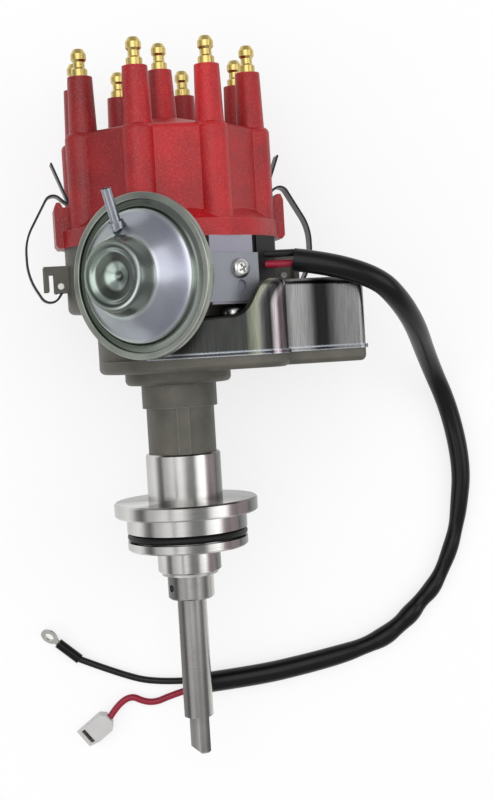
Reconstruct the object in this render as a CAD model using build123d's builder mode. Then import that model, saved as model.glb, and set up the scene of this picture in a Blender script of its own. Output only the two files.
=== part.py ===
from build123d import *
import os
from math import cos, pi, radians, sin, sqrt, tan

# An ignition distributor for a vee-eight engine, lying on its back on a bench with its lead beside it.
# The origin is on the shaft axis, at the face of the mounting collar that seats on the engine block.
# +Y runs along the shaft towards the cap, +X to the side of the module cover and +Z up from the bench.
# Heights are measured along the shaft from the seating face. Azimuths are turned about the shaft,
# from straight up (+Z) towards +X. All sizes are millimetres and degrees.

# ---------------------------------------------------------------- clearances
running_gap = 0.05  # a shaft in its bush
body_gap = 0.4  # between pieces that move past each other
seat_gap = 0.02  # a piece that drops into its seat

# ---------------------------------------------------------------- bench
bench_depth = 46.5  # the shaft axis above the bench

# ---------------------------------------------------------------- shaft and drive
shaft_r = 6.35
shaft_tip = -104.5
tang_length = 15.7
tang_thick = 4.8
tang_azimuth = 70
journal_r = 4.8  # upper journal that carries the advance cam
journal_top = 117.0
shaft_chamfer = 0.8

shaft_collar_r = 10.0
shaft_collar_length = 10.4
thrust_washer_thick = 1.0
washer_play = 0.2
pin_r = 1.6
pin_wall = 0.5
pin_azimuth = -58
bush_wall = 1.65
bush_length = 24.0

# ---------------------------------------------------------------- mounting collar
flange_r = 31.0
flange_thick = 6.1
pilot_r = 26.0
pilot_length = 14.6
boss_r = 13.7
boss_length = 10.5
sleeve_r = 16.15
sleeve_top = 26.4
stem_spigot_r = 11.0
groove_middle = -8.8
groove_width = 4.0
ring_section_r = 1.6
ring_squeeze = 1.6  # from the pilot's surface to the middle of the ring's section, as fitted in its bore
collar_chamfer = 0.7

# ---------------------------------------------------------------- cast stem, step flange, tray and neck
stem_r = 14.6
stem_rib = 0.7
stem_rib_width = 5.0
stem_collar_r = 16.15
stem_collar_bottom = 46.2
step_bottom = 56.2
step_r = 22.75
step_fillet = 2.2
tray_bottom = 61.7
tray_thick = 5.4
tray_left = -33.4
tray_right = 79.6
tray_fillet = 2.4
neck_r = 33.4
neck_wall = 3.6
post_r = 12.0
post_top = 84.0

# plan of the tray: a round left end, a flat front and back with rounded corners, and a lobe over the module
block_right = 45.5
corner_r = 9.5
lobe_half_depth = 19.0
lobe_corner = 3.0
lobe_crown = 1.6

# ---------------------------------------------------------------- bowl
bowl_r = 45.0
bowl_wall = 4.0
bowl_bottom = 88.0
bowl_floor = 3.5
bowl_top = 115.6
bowl_fillet = 2.5

# ---------------------------------------------------------------- module cover
cover_wall = 1.2
cover_low = 83.6
cover_high = 97.5
cover_round = 3.4
ramp_round = 2.0
cover_lip_height = 1.6
cover_lip = 1.0
ramp_low_x = 22.0
ramp_high_x = 38.5
cover_left_end = -12.0
bowl_gap = 4.6
clip_pocket_r = 70.0
clip_pocket_half = 7.0
clip_pocket_floor = 89.8
screw_r = 2.0
screw_head_r = 4.0
screw_head_height = 3.2
cover_screw_x = 23.5
cover_screw_z = 36.0

# ---------------------------------------------------------------- distributor cap
cap_bottom = bowl_top
cap_flange_r = 46.5
cap_flange_thick = 6.9
tower_count = 8
tower_circle_r = 38.0
tower_azimuth = 30.0
tower_base_r = 5.9
tower_top_r = 5.15
tower_top = 184.7
column_r = 6.7
column_circle_r = 39.1
panel_apothem = 39.6
panel_bottom = 127.3
cap_shoulder = 161.8
shoulder_round = 2.6
deck_rise = 6.5
centre_tower_base_r = 6.3
centre_tower_top = 189.6
cap_cavity_r = 36.0
cap_cavity_top = 150.0
spigot_wall = 2.0
spigot_depth = 2.4
ear_azimuth = 97.5
ear_r = 48.8
ear_top = 134.7
ear_half_width = 8.5
ear_wall = 2.6
ear_lip = 2.1

# ---------------------------------------------------------------- terminals, rotor and brush
stud_head_r = 3.2
stud_neck_r = 2.4
stud_foot_r = 3.35
stud_height = 11.4
shank_r = 2.0
electrode_r = 2.5
electrode_circle_r = 32.8
electrode_bottom = 134.0
bridge_thick = 3.0
spark_gap = 1.0
blade_thick = 1.0
blade_width = 8.0
rotor_r = 11.5
rotor_bottom = 112.5
rotor_top = 129.0
rotor_azimuth = 75
brush_r = 2.4
brush_length = 12.0
brush_room = 15.7  # above the brush, for its spring

# ---------------------------------------------------------------- advance mechanism
plate_bottom = 86.0
plate_thick = 2.0
plate_r = 27.0
weight_pin_r = 2.0
weight_pin_circle = 18.0
weight_thick = 4.0
weight_outer_r = 23.4
weight_inner_r = 11.2
cam_plate_thick = 1.4
cam_plate_half = 25.0
cam_plate_width = 14.0
cam_sleeve_r = 7.2
cam_sleeve_top = 118.0
cam_azimuth = 50
toe_pin_r = 1.4
toe_circle = 17.0
toe_play = 0.6
toe_travel = 3.8
spring_post_r = 1.2
spring_post_circle = 25.0
spring_post_azimuth = 5
cam_post_circle = 12.2
spring_wire_r = 0.35
spring_coil_r = 1.3
weight_pivot_azimuth = 138
weight_from = 36
weight_to = 152

# ---------------------------------------------------------------- pickup
base_plate_bottom = 98.2
base_plate_thick = 1.6
base_plate_r = 34.0
base_ear_r = 3.6
base_hub_r = 19.9
base_hub_wall = 2.9
base_post_circle = 37.2
base_screw_r = 1.5
pickup_plate_r = 33.6
pickup_plate_thick = 1.5
reluctor_bottom = 104.0
reluctor_height = 7.0
reluctor_r = 15.5
reluctor_tooth = 2.6
pickup_air_gap = 0.5
pickup_azimuth = 205

# ---------------------------------------------------------------- vacuum canister
canister_azimuth = -35.0
canister_x = -11.8
canister_z = 65.0
canister_height = 99.8
canister_r = 32.0
rim_thick = 2.6
shell_wall = 0.9
ring_r = 25.6
ring_rise = 3.0
canister_boss_base_r = 15.1
canister_boss_base = 11.6
canister_boss_r = 13.4
canister_boss_height = 18.4
dimple_r = 7.4
dimple_step = 1.4
dimple_depth = 3.6
diaphragm_coil_r = 9.4
rear_depth = 9.0
canister_neck_r = 6.0
canister_neck_end = -14.2
nipple_r = 2.0
nipple_bore_r = 1.3
nipple_length = 15.5
nipple_up = 18.4
nipple_side = -3.0
nipple_lean = 22
link_r = 1.6
link_eye_r = 4.0
link_eye_hole_r = 2.2
link_eye_thick = 1.6
link_pin_r = 1.5
joggle_at = 35.2  # from the canister's rim back along its axis
joggle_length = 1.8
joggle_width = 4.4
link_way_gap = 0.6

bracket_thick = 1.5
bracket_low = 89.0
bracket_high = 108.3
pad_azimuth = 32.0
pad_distance = 46.0
pad_half_width = 10.4
bracket_reach = 12.3
bracket_screw_u = 2.4
bracket_screw_height = 102.0
bracket_hole_u = 3.0
bracket_hole_height = 95.2
bracket_hole_r = 2.4

# ---------------------------------------------------------------- spring clips
clip_width = 7.4
clip_thick = 0.9
pivot_r = 47.8
pivot_height = 100.0
clip_bow = 13.3  # how far the strip bows outwards of its pin
clip_dip = 10.0  # and how far it dips under it
clip_tab_reach = 16.8  # from the ear's rim to the end of the lifting tab
clip_pin_r = 1.3
clip_ear_r = 54.6
clip_ear_low = 98.0
clip_ear_high = 108.5
clip_ear_wall = 2.0
clip_ear_gap = 0.5

# ---------------------------------------------------------------- lead
grommet_azimuth = 53.5
grommet_width = 14.0
grommet_bottom = 97.5
grommet_proud = 2.4
loom_r = 4.8
wire_r = 1.55
lead_pitch = 4.3  # between the two leads in the grommet
lead_middle = 105.75
lead_from_x = 28.0
lead_from_z = 27.4
arc_share = 0.45  # share of a run that the arc at its corner takes up
sleeve_start = (50.5, 105, 25)
shrink_r = 2.3
shrink_length = 12.5
ring_outer_r = 4.25
ring_hole_r = 2.15
ring_thick = 0.8
ring_tilt = 40
barrel_r = 1.9
connector_length = 17.0
connector_width = 9.6
connector_height = 7.0
connector_slant = 28
connector_azimuth = 217.5
mouth_width = 7.2
mouth_height = 3.9
spade_width = 6.3
spade_thick = 0.8

# ---------------------------------------------------------------- derived sizes
tang_top = shaft_tip + tang_length
pilot_bottom = -pilot_length
boss_bottom = pilot_bottom - boss_length
washer_top = boss_bottom - washer_play
shaft_collar_top = washer_top - thrust_washer_thick - washer_play
shaft_collar_bottom = shaft_collar_top - shaft_collar_length
tray_top = tray_bottom + tray_thick
floor_top = bowl_bottom + bowl_floor
bowl_inner_r = bowl_r - bowl_wall
bush_r = shaft_r + running_gap + bush_wall
block_half_depth = bench_depth - cover_lip
left_end_x = tray_left + block_half_depth
cap_flange_top = cap_bottom + cap_flange_thick
plate_top = plate_bottom + plate_thick
weight_bottom = plate_top + body_gap
weight_top = weight_bottom + weight_thick
cam_plate_bottom = weight_top + body_gap
cam_plate_top = cam_plate_bottom + cam_plate_thick
pickup_plate_bottom = base_plate_bottom + base_plate_thick + 0.3
pickup_plate_top = pickup_plate_bottom + pickup_plate_thick
canister_forward = Vector(sin(radians(canister_azimuth)), 0, cos(radians(canister_azimuth)))
canister_side = Vector(cos(radians(canister_azimuth)), 0, -sin(radians(canister_azimuth)))
canister_centre = Vector(canister_x, canister_height, canister_z)
link_reach = (canister_centre.X * canister_forward.X + canister_centre.Z * canister_forward.Z)
link_pin_at = canister_centre - canister_forward * link_reach
link_eye_low = pickup_plate_top + 0.4
link_eye_high = link_eye_low + link_eye_thick
link_low = canister_height - link_r + 0.4


# ---------------------------------------------------------------- planes and small shapes
def level(height):
    """The plane across the shaft at a height; its local y points to the bench."""
    return Plane(origin=(0, height, 0), x_dir=(1, 0, 0), z_dir=(0, 1, 0))


def facing(azimuth, distance, height=0.0):
    """A plane that faces outwards at an azimuth, with its local x across and its local y along the shaft."""
    a = radians(azimuth)
    return Plane(origin=(distance * sin(a), height, distance * cos(a)),
                 x_dir=(cos(a), 0, -sin(a)), z_dir=(sin(a), 0, cos(a)))


def profile(azimuth):
    """A plane through the shaft axis, with its local x outwards and its local y along the shaft."""
    a = radians(azimuth)
    return Plane(origin=(0, 0, 0), x_dir=(sin(a), 0, cos(a)), z_dir=(-cos(a), 0, sin(a)))


def around(radius, azimuth):
    """A point on a level plane, by its distance from the shaft and its azimuth."""
    a = radians(azimuth)
    return (radius * sin(a), -radius * cos(a))


def disc(low, high, radius, mode=Mode.ADD, at=(0, 0)):
    """A round from one height to another, added to the part in hand."""
    with BuildSketch(level(low)) as outline:
        with Locations(at):
            Circle(radius)
    extrude(outline.sketch, amount=high - low, mode=mode)


def ring(low, high, outer, inner):
    """A plain ring about the shaft axis."""
    with BuildSketch(level(low)) as outline:
        Circle(outer)
        Circle(inner, mode=Mode.SUBTRACT)
    extrude(outline.sketch, amount=high - low)


def turned(*points):
    """A turned shape about the shaft axis, from its outline of (radius, height) points."""
    with BuildSketch(Plane.XY) as outline:
        with BuildLine():
            Polyline(*points, close=True)
        make_face()
    revolve(outline.sketch, axis=Axis.Y)


def finish(part, name):
    part.label = name
    export_step(part, f"parts/{name}.step")


os.makedirs("parts", exist_ok=True)

# ================================================================ shaft and drive
with BuildPart() as drive_shaft:
    turned((0, shaft_tip), (shaft_r, shaft_tip), (shaft_r, post_top + 2.0), (journal_r, post_top + 2.0),
           (journal_r, journal_top), (0, journal_top))
    # the drive tang: two flats cut on the lower end
    for side in (-1, 1):
        with BuildSketch(level(shaft_tip)):
            with Locations(Location((0, 0), -tang_azimuth)):
                with Locations((0, side * (tang_thick / 2 + shaft_r))):
                    Rectangle(4 * shaft_r, 2 * shaft_r)
        extrude(amount=tang_length, mode=Mode.SUBTRACT)
    chamfer(drive_shaft.faces().sort_by(Axis.Y)[0].edges(), shaft_chamfer)
    with BuildSketch(facing(pin_azimuth, 0, shaft_collar_bottom + shaft_collar_length / 2)):
        Circle(pin_r)
    extrude(amount=shaft_r * 2, both=True, mode=Mode.SUBTRACT)
finish(drive_shaft.part, "drive_shaft")

with BuildPart() as shaft_collar:
    ring(shaft_collar_bottom, shaft_collar_top, shaft_collar_r, shaft_r)
    chamfer(shaft_collar.edges().filter_by(GeomType.CIRCLE).sort_by(Axis.Y)[0], collar_chamfer)
    chamfer(shaft_collar.edges().filter_by(GeomType.CIRCLE).sort_by(Axis.Y)[-1], collar_chamfer)
    with BuildSketch(facing(pin_azimuth, 0, shaft_collar_bottom + shaft_collar_length / 2)):
        Circle(pin_r)
    extrude(amount=shaft_collar_r * 2, both=True, mode=Mode.SUBTRACT)
finish(shaft_collar.part, "shaft_collar")

with BuildPart() as roll_pin:
    with BuildSketch(facing(pin_azimuth, 0, shaft_collar_bottom + shaft_collar_length / 2)):
        Circle(pin_r)
        Circle(pin_r - pin_wall, mode=Mode.SUBTRACT)
        with Locations((0, pin_r)):
            Rectangle(pin_wall, pin_r, mode=Mode.SUBTRACT)
    extrude(amount=shaft_collar_r - 1.0, both=True)
finish(roll_pin.part, "roll_pin")

with BuildPart() as thrust_washer:
    ring(washer_top - thrust_washer_thick, washer_top, boss_r - 1.5, shaft_r + running_gap)
finish(thrust_washer.part, "thrust_washer")

# ================================================================ bushes
spigot_bottom = boss_bottom + 3.0
lower_bush_bottom = spigot_bottom
with BuildPart() as lower_bushing:
    ring(lower_bush_bottom, lower_bush_bottom + bush_length, bush_r, shaft_r + running_gap)
finish(lower_bushing.part, "lower_bushing")

with BuildPart() as upper_bushing:
    ring(post_top - bush_length, post_top, bush_r, shaft_r + running_gap)
finish(upper_bushing.part, "upper_bushing")

# ================================================================ mounting collar
groove_floor_r = pilot_r - ring_squeeze - ring_section_r
with BuildPart() as mounting_collar:
    turned((stem_spigot_r, spigot_bottom), (stem_spigot_r, sleeve_top), (sleeve_r, sleeve_top),
           (sleeve_r, flange_thick), (flange_r, flange_thick), (flange_r, 0), (pilot_r, 0),
           (pilot_r, groove_middle + groove_width / 2), (groove_floor_r, groove_middle + groove_width / 2),
           (groove_floor_r, groove_middle - groove_width / 2), (pilot_r, groove_middle - groove_width / 2),
           (pilot_r, pilot_bottom), (boss_r, pilot_bottom), (boss_r, boss_bottom),
           (shaft_r + 0.5, boss_bottom), (shaft_r + 0.5, spigot_bottom))
    rims = mounting_collar.edges().filter_by(GeomType.CIRCLE)
    for radius, height in ((sleeve_r, sleeve_top), (flange_r, flange_thick), (flange_r, 0),
                           (pilot_r, pilot_bottom), (boss_r, boss_bottom)):
        rim = [e for e in rims if abs(e.radius - radius) < 0.01 and abs(e.center().Y - height) < 0.01]
        chamfer(rim, collar_chamfer)
finish(mounting_collar.part, "mounting_collar")

with BuildPart() as o_ring:
    with BuildSketch(Plane.XY):
        with Locations((pilot_r - ring_squeeze, groove_middle)):
            Circle(ring_section_r)
    revolve(axis=Axis.Y)
finish(o_ring.part, "o_ring")


# ================================================================ housing
def plan(inset=0.0):
    """The outline of the tray and cover: a block with a round left end and the lobe over the module."""
    right = block_right - inset
    far = tray_right - inset
    depth = lobe_half_depth - inset
    with BuildLine() as block:
        top = Line((left_end_x, block_half_depth - inset), (right, block_half_depth - inset))
        side = Line(top @ 1, (right, inset - block_half_depth))
        bottom = Line(side @ 1, (left_end_x, inset - block_half_depth))
        ThreePointArc(bottom @ 1, (tray_left + inset, 0), top @ 0)
    make_face(block.edges())
    sketch = BuildSketch._get_context("plan")
    fillet(sketch.vertices().group_by(Axis.X)[-1], corner_r - inset)
    with BuildLine() as lobe:
        ThreePointArc((0, -depth), ((right + far) / 2, -depth - lobe_crown), (far, -depth))
        Line((far, -depth), (far, depth))
        ThreePointArc((far, depth), ((right + far) / 2, depth + lobe_crown), (0, depth))
        Line((0, depth), (0, -depth))
    make_face(lobe.edges())
    fillet(sketch.vertices().group_by(Axis.X)[-1], lobe_corner - inset)


def clip_ear(azimuth):
    """Two cast cheeks, open below, that hold the pin of a spring clip between them."""
    for side in (-1, 1):
        cheek_plane = profile(azimuth).offset(side * (clip_width / 2 + clip_ear_gap + clip_ear_wall / 2))
        with BuildSketch(cheek_plane) as cheek:
            with BuildLine():
                inner = bowl_r - bowl_wall / 2
                Polyline((inner, clip_ear_high), (clip_ear_r, clip_ear_high), (clip_ear_r, clip_ear_low),
                         (clip_ear_r - clip_ear_wall, clip_ear_low),
                         (clip_ear_r - clip_ear_wall, clip_ear_high - 3.2),
                         (pivot_r + 2.6, clip_ear_high - 3.2), (pivot_r + 2.6, clip_ear_low - 0.6),
                         (inner, clip_ear_low - 0.6), close=True)
            make_face()
        extrude(cheek.sketch, amount=clip_ear_wall / 2, both=True)
        with BuildSketch(cheek_plane) as pin_hole:
            with Locations((pivot_r, pivot_height)):
                Circle(clip_pin_r)
        extrude(pin_hole.sketch, amount=clip_ear_wall / 2, both=True, mode=Mode.SUBTRACT)


base_post_azimuths = (30, 150, 270)
pad_plane = facing(pad_azimuth, bowl_inner_r + 1.0, (bowl_bottom + bowl_top) / 2)
with BuildPart() as housing:
    # stem with its spigot in the mounting collar
    disc(spigot_bottom, sleeve_top, stem_spigot_r)
    disc(sleeve_top, stem_collar_bottom + 1, stem_r)
    with BuildSketch(level(sleeve_top)):
        with Locations(around(stem_r - stem_rib, 4)):
            Rectangle(stem_rib_width, 2 * stem_rib + 1.4)
    extrude(amount=stem_collar_bottom - sleeve_top)
    disc(stem_collar_bottom, step_bottom + 1, stem_collar_r)
    disc(step_bottom, tray_bottom + 1, step_r)
    fillet(housing.edges().filter_by(GeomType.CIRCLE).filter_by(
        lambda e: abs(e.radius - step_r) < 0.01 and abs(e.center().Y - step_bottom) < 0.01), step_fillet)
    # tray under the module cover
    with BuildSketch(level(tray_bottom)):
        plan()
    extrude(amount=tray_thick)
    tray_edges = housing.edges().filter_by(
        lambda e: abs(e.bounding_box().max.Y - tray_bottom) < 0.01 and abs(e.bounding_box().min.Y - tray_bottom) < 0.01)
    fillet([e for e in tray_edges if e.center().length > 0 and e.bounding_box().max.X > step_r + 1
            or e.bounding_box().min.X < -step_r - 1], tray_fillet)
    # neck and bowl
    disc(tray_top, bowl_bottom + 1, neck_r)
    disc(bowl_bottom, bowl_top, bowl_r)
    fillet(housing.edges().filter_by(GeomType.CIRCLE).filter_by(
        lambda e: abs(e.radius - bowl_r) < 0.01 and abs(e.center().Y - bowl_bottom) < 0.01), bowl_fillet)
    # pad for the canister's bracket
    with BuildSketch(pad_plane):
        Rectangle(2 * pad_half_width, bowl_top - bowl_bottom)
    extrude(amount=pad_distance - bowl_inner_r - 1.0)
    for azimuth in (ear_azimuth, ear_azimuth + 180):
        clip_ear(azimuth)
    # hollow bowl and neck round the central post
    disc(floor_top, bowl_top, bowl_inner_r, Mode.SUBTRACT)
    with BuildSketch(level(tray_top + 1.0)):
        Circle(neck_r - neck_wall)
        Circle(post_r, mode=Mode.SUBTRACT)
    extrude(amount=floor_top - tray_top - 1.0, mode=Mode.SUBTRACT)
    disc(post_top, floor_top, neck_r - neck_wall, Mode.SUBTRACT)
    # bores for the bushes and the shaft
    disc(spigot_bottom, post_top, bush_r, Mode.SUBTRACT)
    # slot for the grommet, open at the rim
    with BuildSketch(facing(grommet_azimuth, bowl_inner_r - 3.0, (grommet_bottom + bowl_top) / 2)):
        Rectangle(grommet_width, bowl_top - grommet_bottom)
    extrude(amount=12.0, mode=Mode.SUBTRACT)
    # way for the vacuum link through the wall
    with BuildSketch(Plane(origin=canister_centre, x_dir=(0, 1, 0), z_dir=-canister_forward)):
        with Locations(((link_low + link_eye_high) / 2 - canister_height, 0)):
            Rectangle(link_eye_high - link_low + 2 * link_way_gap + 0.8, joggle_width + 2 * link_way_gap)
    extrude(amount=link_reach, mode=Mode.SUBTRACT)
    # screw holes: bracket, module cover
    with BuildSketch(facing(pad_azimuth, pad_distance)):
        with Locations((bracket_screw_u, bracket_screw_height)):
            Circle(screw_r)
    extrude(amount=-(pad_distance - bowl_inner_r), mode=Mode.SUBTRACT)
    # posts that carry the base plate
    for azimuth in base_post_azimuths:
        disc(floor_top, base_plate_bottom, base_ear_r, at=around(base_post_circle, azimuth))
        disc(floor_top, base_plate_bottom, base_screw_r, Mode.SUBTRACT, around(base_post_circle, azimuth))
    # posts for the cover screws
    for side in (-1, 1):
        disc(tray_top, cover_low - cover_wall, 4.2, at=(cover_screw_x, side * cover_screw_z))
        disc(tray_top, cover_low, screw_r, Mode.SUBTRACT, (cover_screw_x, side * cover_screw_z))
finish(housing.part, "housing")


# ================================================================ ignition module under its cover
def cover_form(inset):
    """The cover's outside, or its hollow when inset by the wall."""
    low = cover_low - inset
    high = cover_high - inset
    with BuildSketch(level(tray_top)) as outline:
        plan(inset)
    extrude(outline.sketch, amount=high - tray_top)
    form = BuildPart._get_context("cover_form")
    fillet(form.faces().sort_by(Axis.Y)[-1].edges(), cover_round - inset)
    # the low terrace under the bowl and the ramp up to the lobe
    with BuildSketch(Plane.XY) as above:
        with BuildLine():
            Line((-bench_depth, low), (ramp_low_x + inset, low))
            Spline((ramp_low_x + inset, low), (ramp_high_x + inset, high), tangents=((1, 0), (1, 0.15)))
            Polyline((ramp_high_x + inset, high), (ramp_high_x + inset, high + 5),
                     (-bench_depth, high + 5), (-bench_depth, low))
        make_face()
    extrude(above.sketch, amount=bench_depth + 2, both=True, mode=Mode.SUBTRACT)
    long_edges = form.edges().filter_by(lambda e: e.bounding_box().min.Y > low - 0.01 and e.bounding_box().size.X > 1)
    fillet(long_edges.filter_by(lambda e: e.bounding_box().size.Y > 5 or abs(e.center().Y - low) < 0.01),
           ramp_round - inset / 2)


def cover_room(inset):
    """Room over the cover for the bowl and for the swing of the right-hand clip."""
    disc(cover_low - inset, cover_high + 1, bowl_r + bowl_gap + inset, Mode.SUBTRACT)
    for side in (-1, 1):
        disc(cover_low - inset, cover_high + 1, screw_head_r + 0.6 + inset, Mode.SUBTRACT,
             (cover_screw_x, side * cover_screw_z))
    floor = clip_pocket_floor - inset
    with BuildSketch(facing(ear_azimuth, bowl_r - 5, floor)) as pocket:
        with Locations((0, (cover_high + 1 - floor) / 2)):
            Rectangle(2 * (clip_pocket_half + inset), cover_high + 1 - floor)
    extrude(pocket.sketch, amount=clip_pocket_r - bowl_r + 5 + inset, mode=Mode.SUBTRACT)


with BuildPart() as cover_outside:
    cover_form(0)
    cover_room(0)
    with BuildSketch(level(tray_top)) as lip:
        plan(-cover_lip)
    extrude(lip.sketch, amount=cover_lip_height)

with BuildPart() as cover_inside:
    cover_form(cover_wall)
    cover_room(cover_wall)

with BuildPart() as module_cover:
    add(cover_outside.part)
    add(cover_inside.part, mode=Mode.SUBTRACT)
    disc(tray_top, cover_high, neck_r + body_gap, Mode.SUBTRACT)
    with BuildSketch(level(tray_top)) as left_end:
        with Locations((cover_left_end - bench_depth, 0)):
            Rectangle(2 * bench_depth, 3 * bench_depth)
    extrude(left_end.sketch, amount=cover_high, mode=Mode.SUBTRACT)
    for side in (-1, 1):
        disc(tray_top, cover_high, screw_r, Mode.SUBTRACT, (cover_screw_x, side * cover_screw_z))
finish(module_cover.part, "module_cover")

with BuildPart() as cover_screws:
    for side in (-1, 1):
        at = (cover_screw_x, side * cover_screw_z)
        disc(cover_low - 8, cover_low, screw_r, at=at)
        disc(cover_low, cover_low + screw_head_height, screw_head_r, at=at)
    fillet(cover_screws.edges().filter_by(lambda e: e.center().Y > cover_low + screw_head_height - 0.1), 1.2)
finish(cover_screws.part, "cover_screws")

module_x = 59.0
module_length = 32.0
module_depth = 30.0
module_height = 13.0
module_tab = 3.0
with BuildPart() as ignition_module:
    with BuildSketch(level(tray_top)):
        with Locations((module_x, 0)):
            RectangleRounded(module_length, module_depth, 2)
    extrude(amount=module_tab)
    with BuildSketch(level(tray_top + module_tab)):
        with Locations((module_x, 0)):
            RectangleRounded(module_length - 10, module_depth, 2)
    extrude(amount=module_height - module_tab)
    for side in (-1, 1):
        disc(tray_top, tray_top + module_tab, 1.6, Mode.SUBTRACT, (module_x + side * (module_length / 2 - 2.6), 0))
finish(ignition_module.part, "ignition_module")

with BuildPart() as module_screws:
    for side in (-1, 1):
        at = (module_x + side * (module_length / 2 - 2.6), 0)
        disc(tray_top, tray_top + module_tab, 1.6, at=at)
        disc(tray_top + module_tab, tray_top + module_tab + 1.8, 2.4, at=at)
finish(module_screws.part, "module_screws")

# ================================================================ terminals
bridge_low = cap_cavity_top + 3.0


def stud(foot):
    """Outline of a brass terminal above its tower: foot, waist and bevelled head."""
    return ((stud_foot_r, foot), (stud_foot_r, foot + 3.0), (stud_neck_r, foot + 3.9), (stud_neck_r, foot + 6.1),
            (stud_head_r, foot + 7.1), (stud_head_r, foot + 9.4), (stud_neck_r, foot + stud_height - 0.7),
            (stud_neck_r - 0.4, foot + stud_height), (0, foot + stud_height))


def on_axis_at(azimuth):
    """A plane through a tower's own axis, with its local x outwards and its local y along the shaft."""
    a = radians(azimuth)
    return Plane(origin=(tower_circle_r * sin(a), 0, tower_circle_r * cos(a)),
                 x_dir=(sin(a), 0, cos(a)), z_dir=(-cos(a), 0, sin(a)))


tower_azimuths = [tower_azimuth + i * 360 / tower_count for i in range(tower_count)]
with BuildPart() as spark_terminals:
    for azimuth in tower_azimuths:
        plane = on_axis_at(azimuth)
        with BuildSketch(plane) as outline:
            with BuildLine():
                Polyline((0, bridge_low), (shank_r, bridge_low), (shank_r, tower_top), *stud(tower_top), close=True)
            make_face()
        revolve(outline.sketch, axis=Axis(plane.origin, (0, 1, 0)))
        disc(electrode_bottom, bridge_low + bridge_thick, electrode_r, at=around(electrode_circle_r, azimuth))
        with BuildSketch(facing(azimuth, electrode_circle_r, bridge_low + bridge_thick / 2)) as bridge:
            Rectangle(2 * shank_r, bridge_thick)
        extrude(bridge.sketch, amount=tower_circle_r - electrode_circle_r)
finish(spark_terminals.part, "spark_terminals")

brush_bottom = rotor_top + blade_thick + 0.3
brush_top = brush_bottom + brush_length
coil_foot = brush_top + brush_room
with BuildPart() as coil_terminal:
    turned((0, coil_foot), (shank_r, coil_foot), (shank_r, centre_tower_top), *stud(centre_tower_top))
finish(coil_terminal.part, "coil_terminal")

with BuildPart() as carbon_brush:
    turned((0, brush_bottom), (brush_r - 0.8, brush_bottom), (brush_r, brush_bottom + 0.8),
           (brush_r, brush_top), (0, brush_top))
finish(carbon_brush.part, "carbon_brush")


def coil_spring(name, base, direction, length, coil_r, wire, turns):
    """A wire spring wound along a direction from its base point."""
    with BuildPart() as spring:
        with BuildLine() as winding:
            Helix(pitch=length / turns, height=length, radius=coil_r, center=base, direction=direction)
        start = winding.line @ 0
        with BuildSketch(Plane(origin=start, z_dir=winding.line % 0)) as section:
            Circle(wire)
        sweep(section.sketch, path=winding.line, is_frenet=True)
    finish(spring.part, name)


coil_spring("brush_spring", (0, brush_top + 0.35, 0), (0, 1, 0), coil_foot - brush_top - 0.7,
            brush_r - 0.5, 0.25, 5)

# ================================================================ distributor cap
tower_height = tower_top - cap_shoulder + 2
centre_base = cap_shoulder + deck_rise - 1
with BuildPart() as distributor_cap:
    with BuildSketch(level(cap_flange_top - 1)):
        RegularPolygon(radius=panel_apothem, side_count=tower_count, major_radius=False,
                       rotation=tower_azimuth)
    extrude(amount=cap_shoulder - cap_flange_top + 1)
    for azimuth in tower_azimuths:
        disc(cap_flange_top - 1, cap_shoulder, column_r, at=around(column_circle_r, azimuth))
    fillet(distributor_cap.faces().sort_by(Axis.Y)[-1].edges(), shoulder_round)
    disc(cap_bottom, cap_flange_top, cap_flange_r)
    turned((0, cap_flange_top), (cap_flange_r - 0.5, cap_flange_top), (panel_apothem, panel_bottom), (0, panel_bottom))
    turned((0, cap_shoulder - 2), (column_circle_r - 5, cap_shoulder - 2), (column_circle_r - 5, cap_shoulder),
           (centre_tower_base_r + 3, cap_shoulder + deck_rise), (0, cap_shoulder + deck_rise))
    for azimuth in tower_azimuths:
        with BuildSketch(level(cap_shoulder - 2)) as foot:
            with Locations(around(tower_circle_r, azimuth)):
                Circle(tower_base_r)
        with BuildSketch(level(tower_top)) as head:
            with Locations(around(tower_circle_r, azimuth)):
                Circle(tower_top_r)
        loft([foot.sketch.face(), head.sketch.face()])
    turned((0, centre_base), (centre_tower_base_r, centre_base), (tower_top_r, centre_tower_top), (0, centre_tower_top))
    # ears that the clips hook over, with a valley behind each
    for azimuth in (ear_azimuth, ear_azimuth + 180):
        with BuildSketch(profile(azimuth)) as ear:
            with BuildLine():
                Polyline((panel_apothem - 2, cap_bottom), (ear_r - 1.2, cap_bottom), (ear_r, cap_bottom + 1.5),
                         (ear_r, ear_top - 2.5), (ear_r - 1.0, ear_top), (ear_r - ear_wall, ear_top),
                         (ear_r - ear_wall - 1.2, ear_top - ear_lip), (panel_apothem - 2, ear_top - ear_lip),
                         close=True)
            make_face()
        extrude(ear.sketch, amount=ear_half_width, both=True)
    # hollow for the rotor, the centre boss and the spigot that drops into the bowl
    disc(cap_bottom, cap_cavity_top, cap_cavity_r, Mode.SUBTRACT)
    disc(brush_top - 4, cap_cavity_top, brush_r + 2.6)
    disc(brush_top - 4, coil_foot, brush_r + seat_gap, Mode.SUBTRACT)
    spigot_r = bowl_inner_r - 0.1
    ring(cap_bottom - spigot_depth, cap_bottom + 0.5, spigot_r, spigot_r - spigot_wall)
    with BuildSketch(facing(grommet_azimuth, bowl_inner_r - 6, cap_bottom)) as notch:
        Rectangle(grommet_width + 4, 2 * spigot_depth)
    extrude(notch.sketch, amount=6, mode=Mode.SUBTRACT)
    add(spark_terminals.part, mode=Mode.SUBTRACT)
    add(coil_terminal.part, mode=Mode.SUBTRACT)
finish(distributor_cap.part, "distributor_cap")


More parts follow.
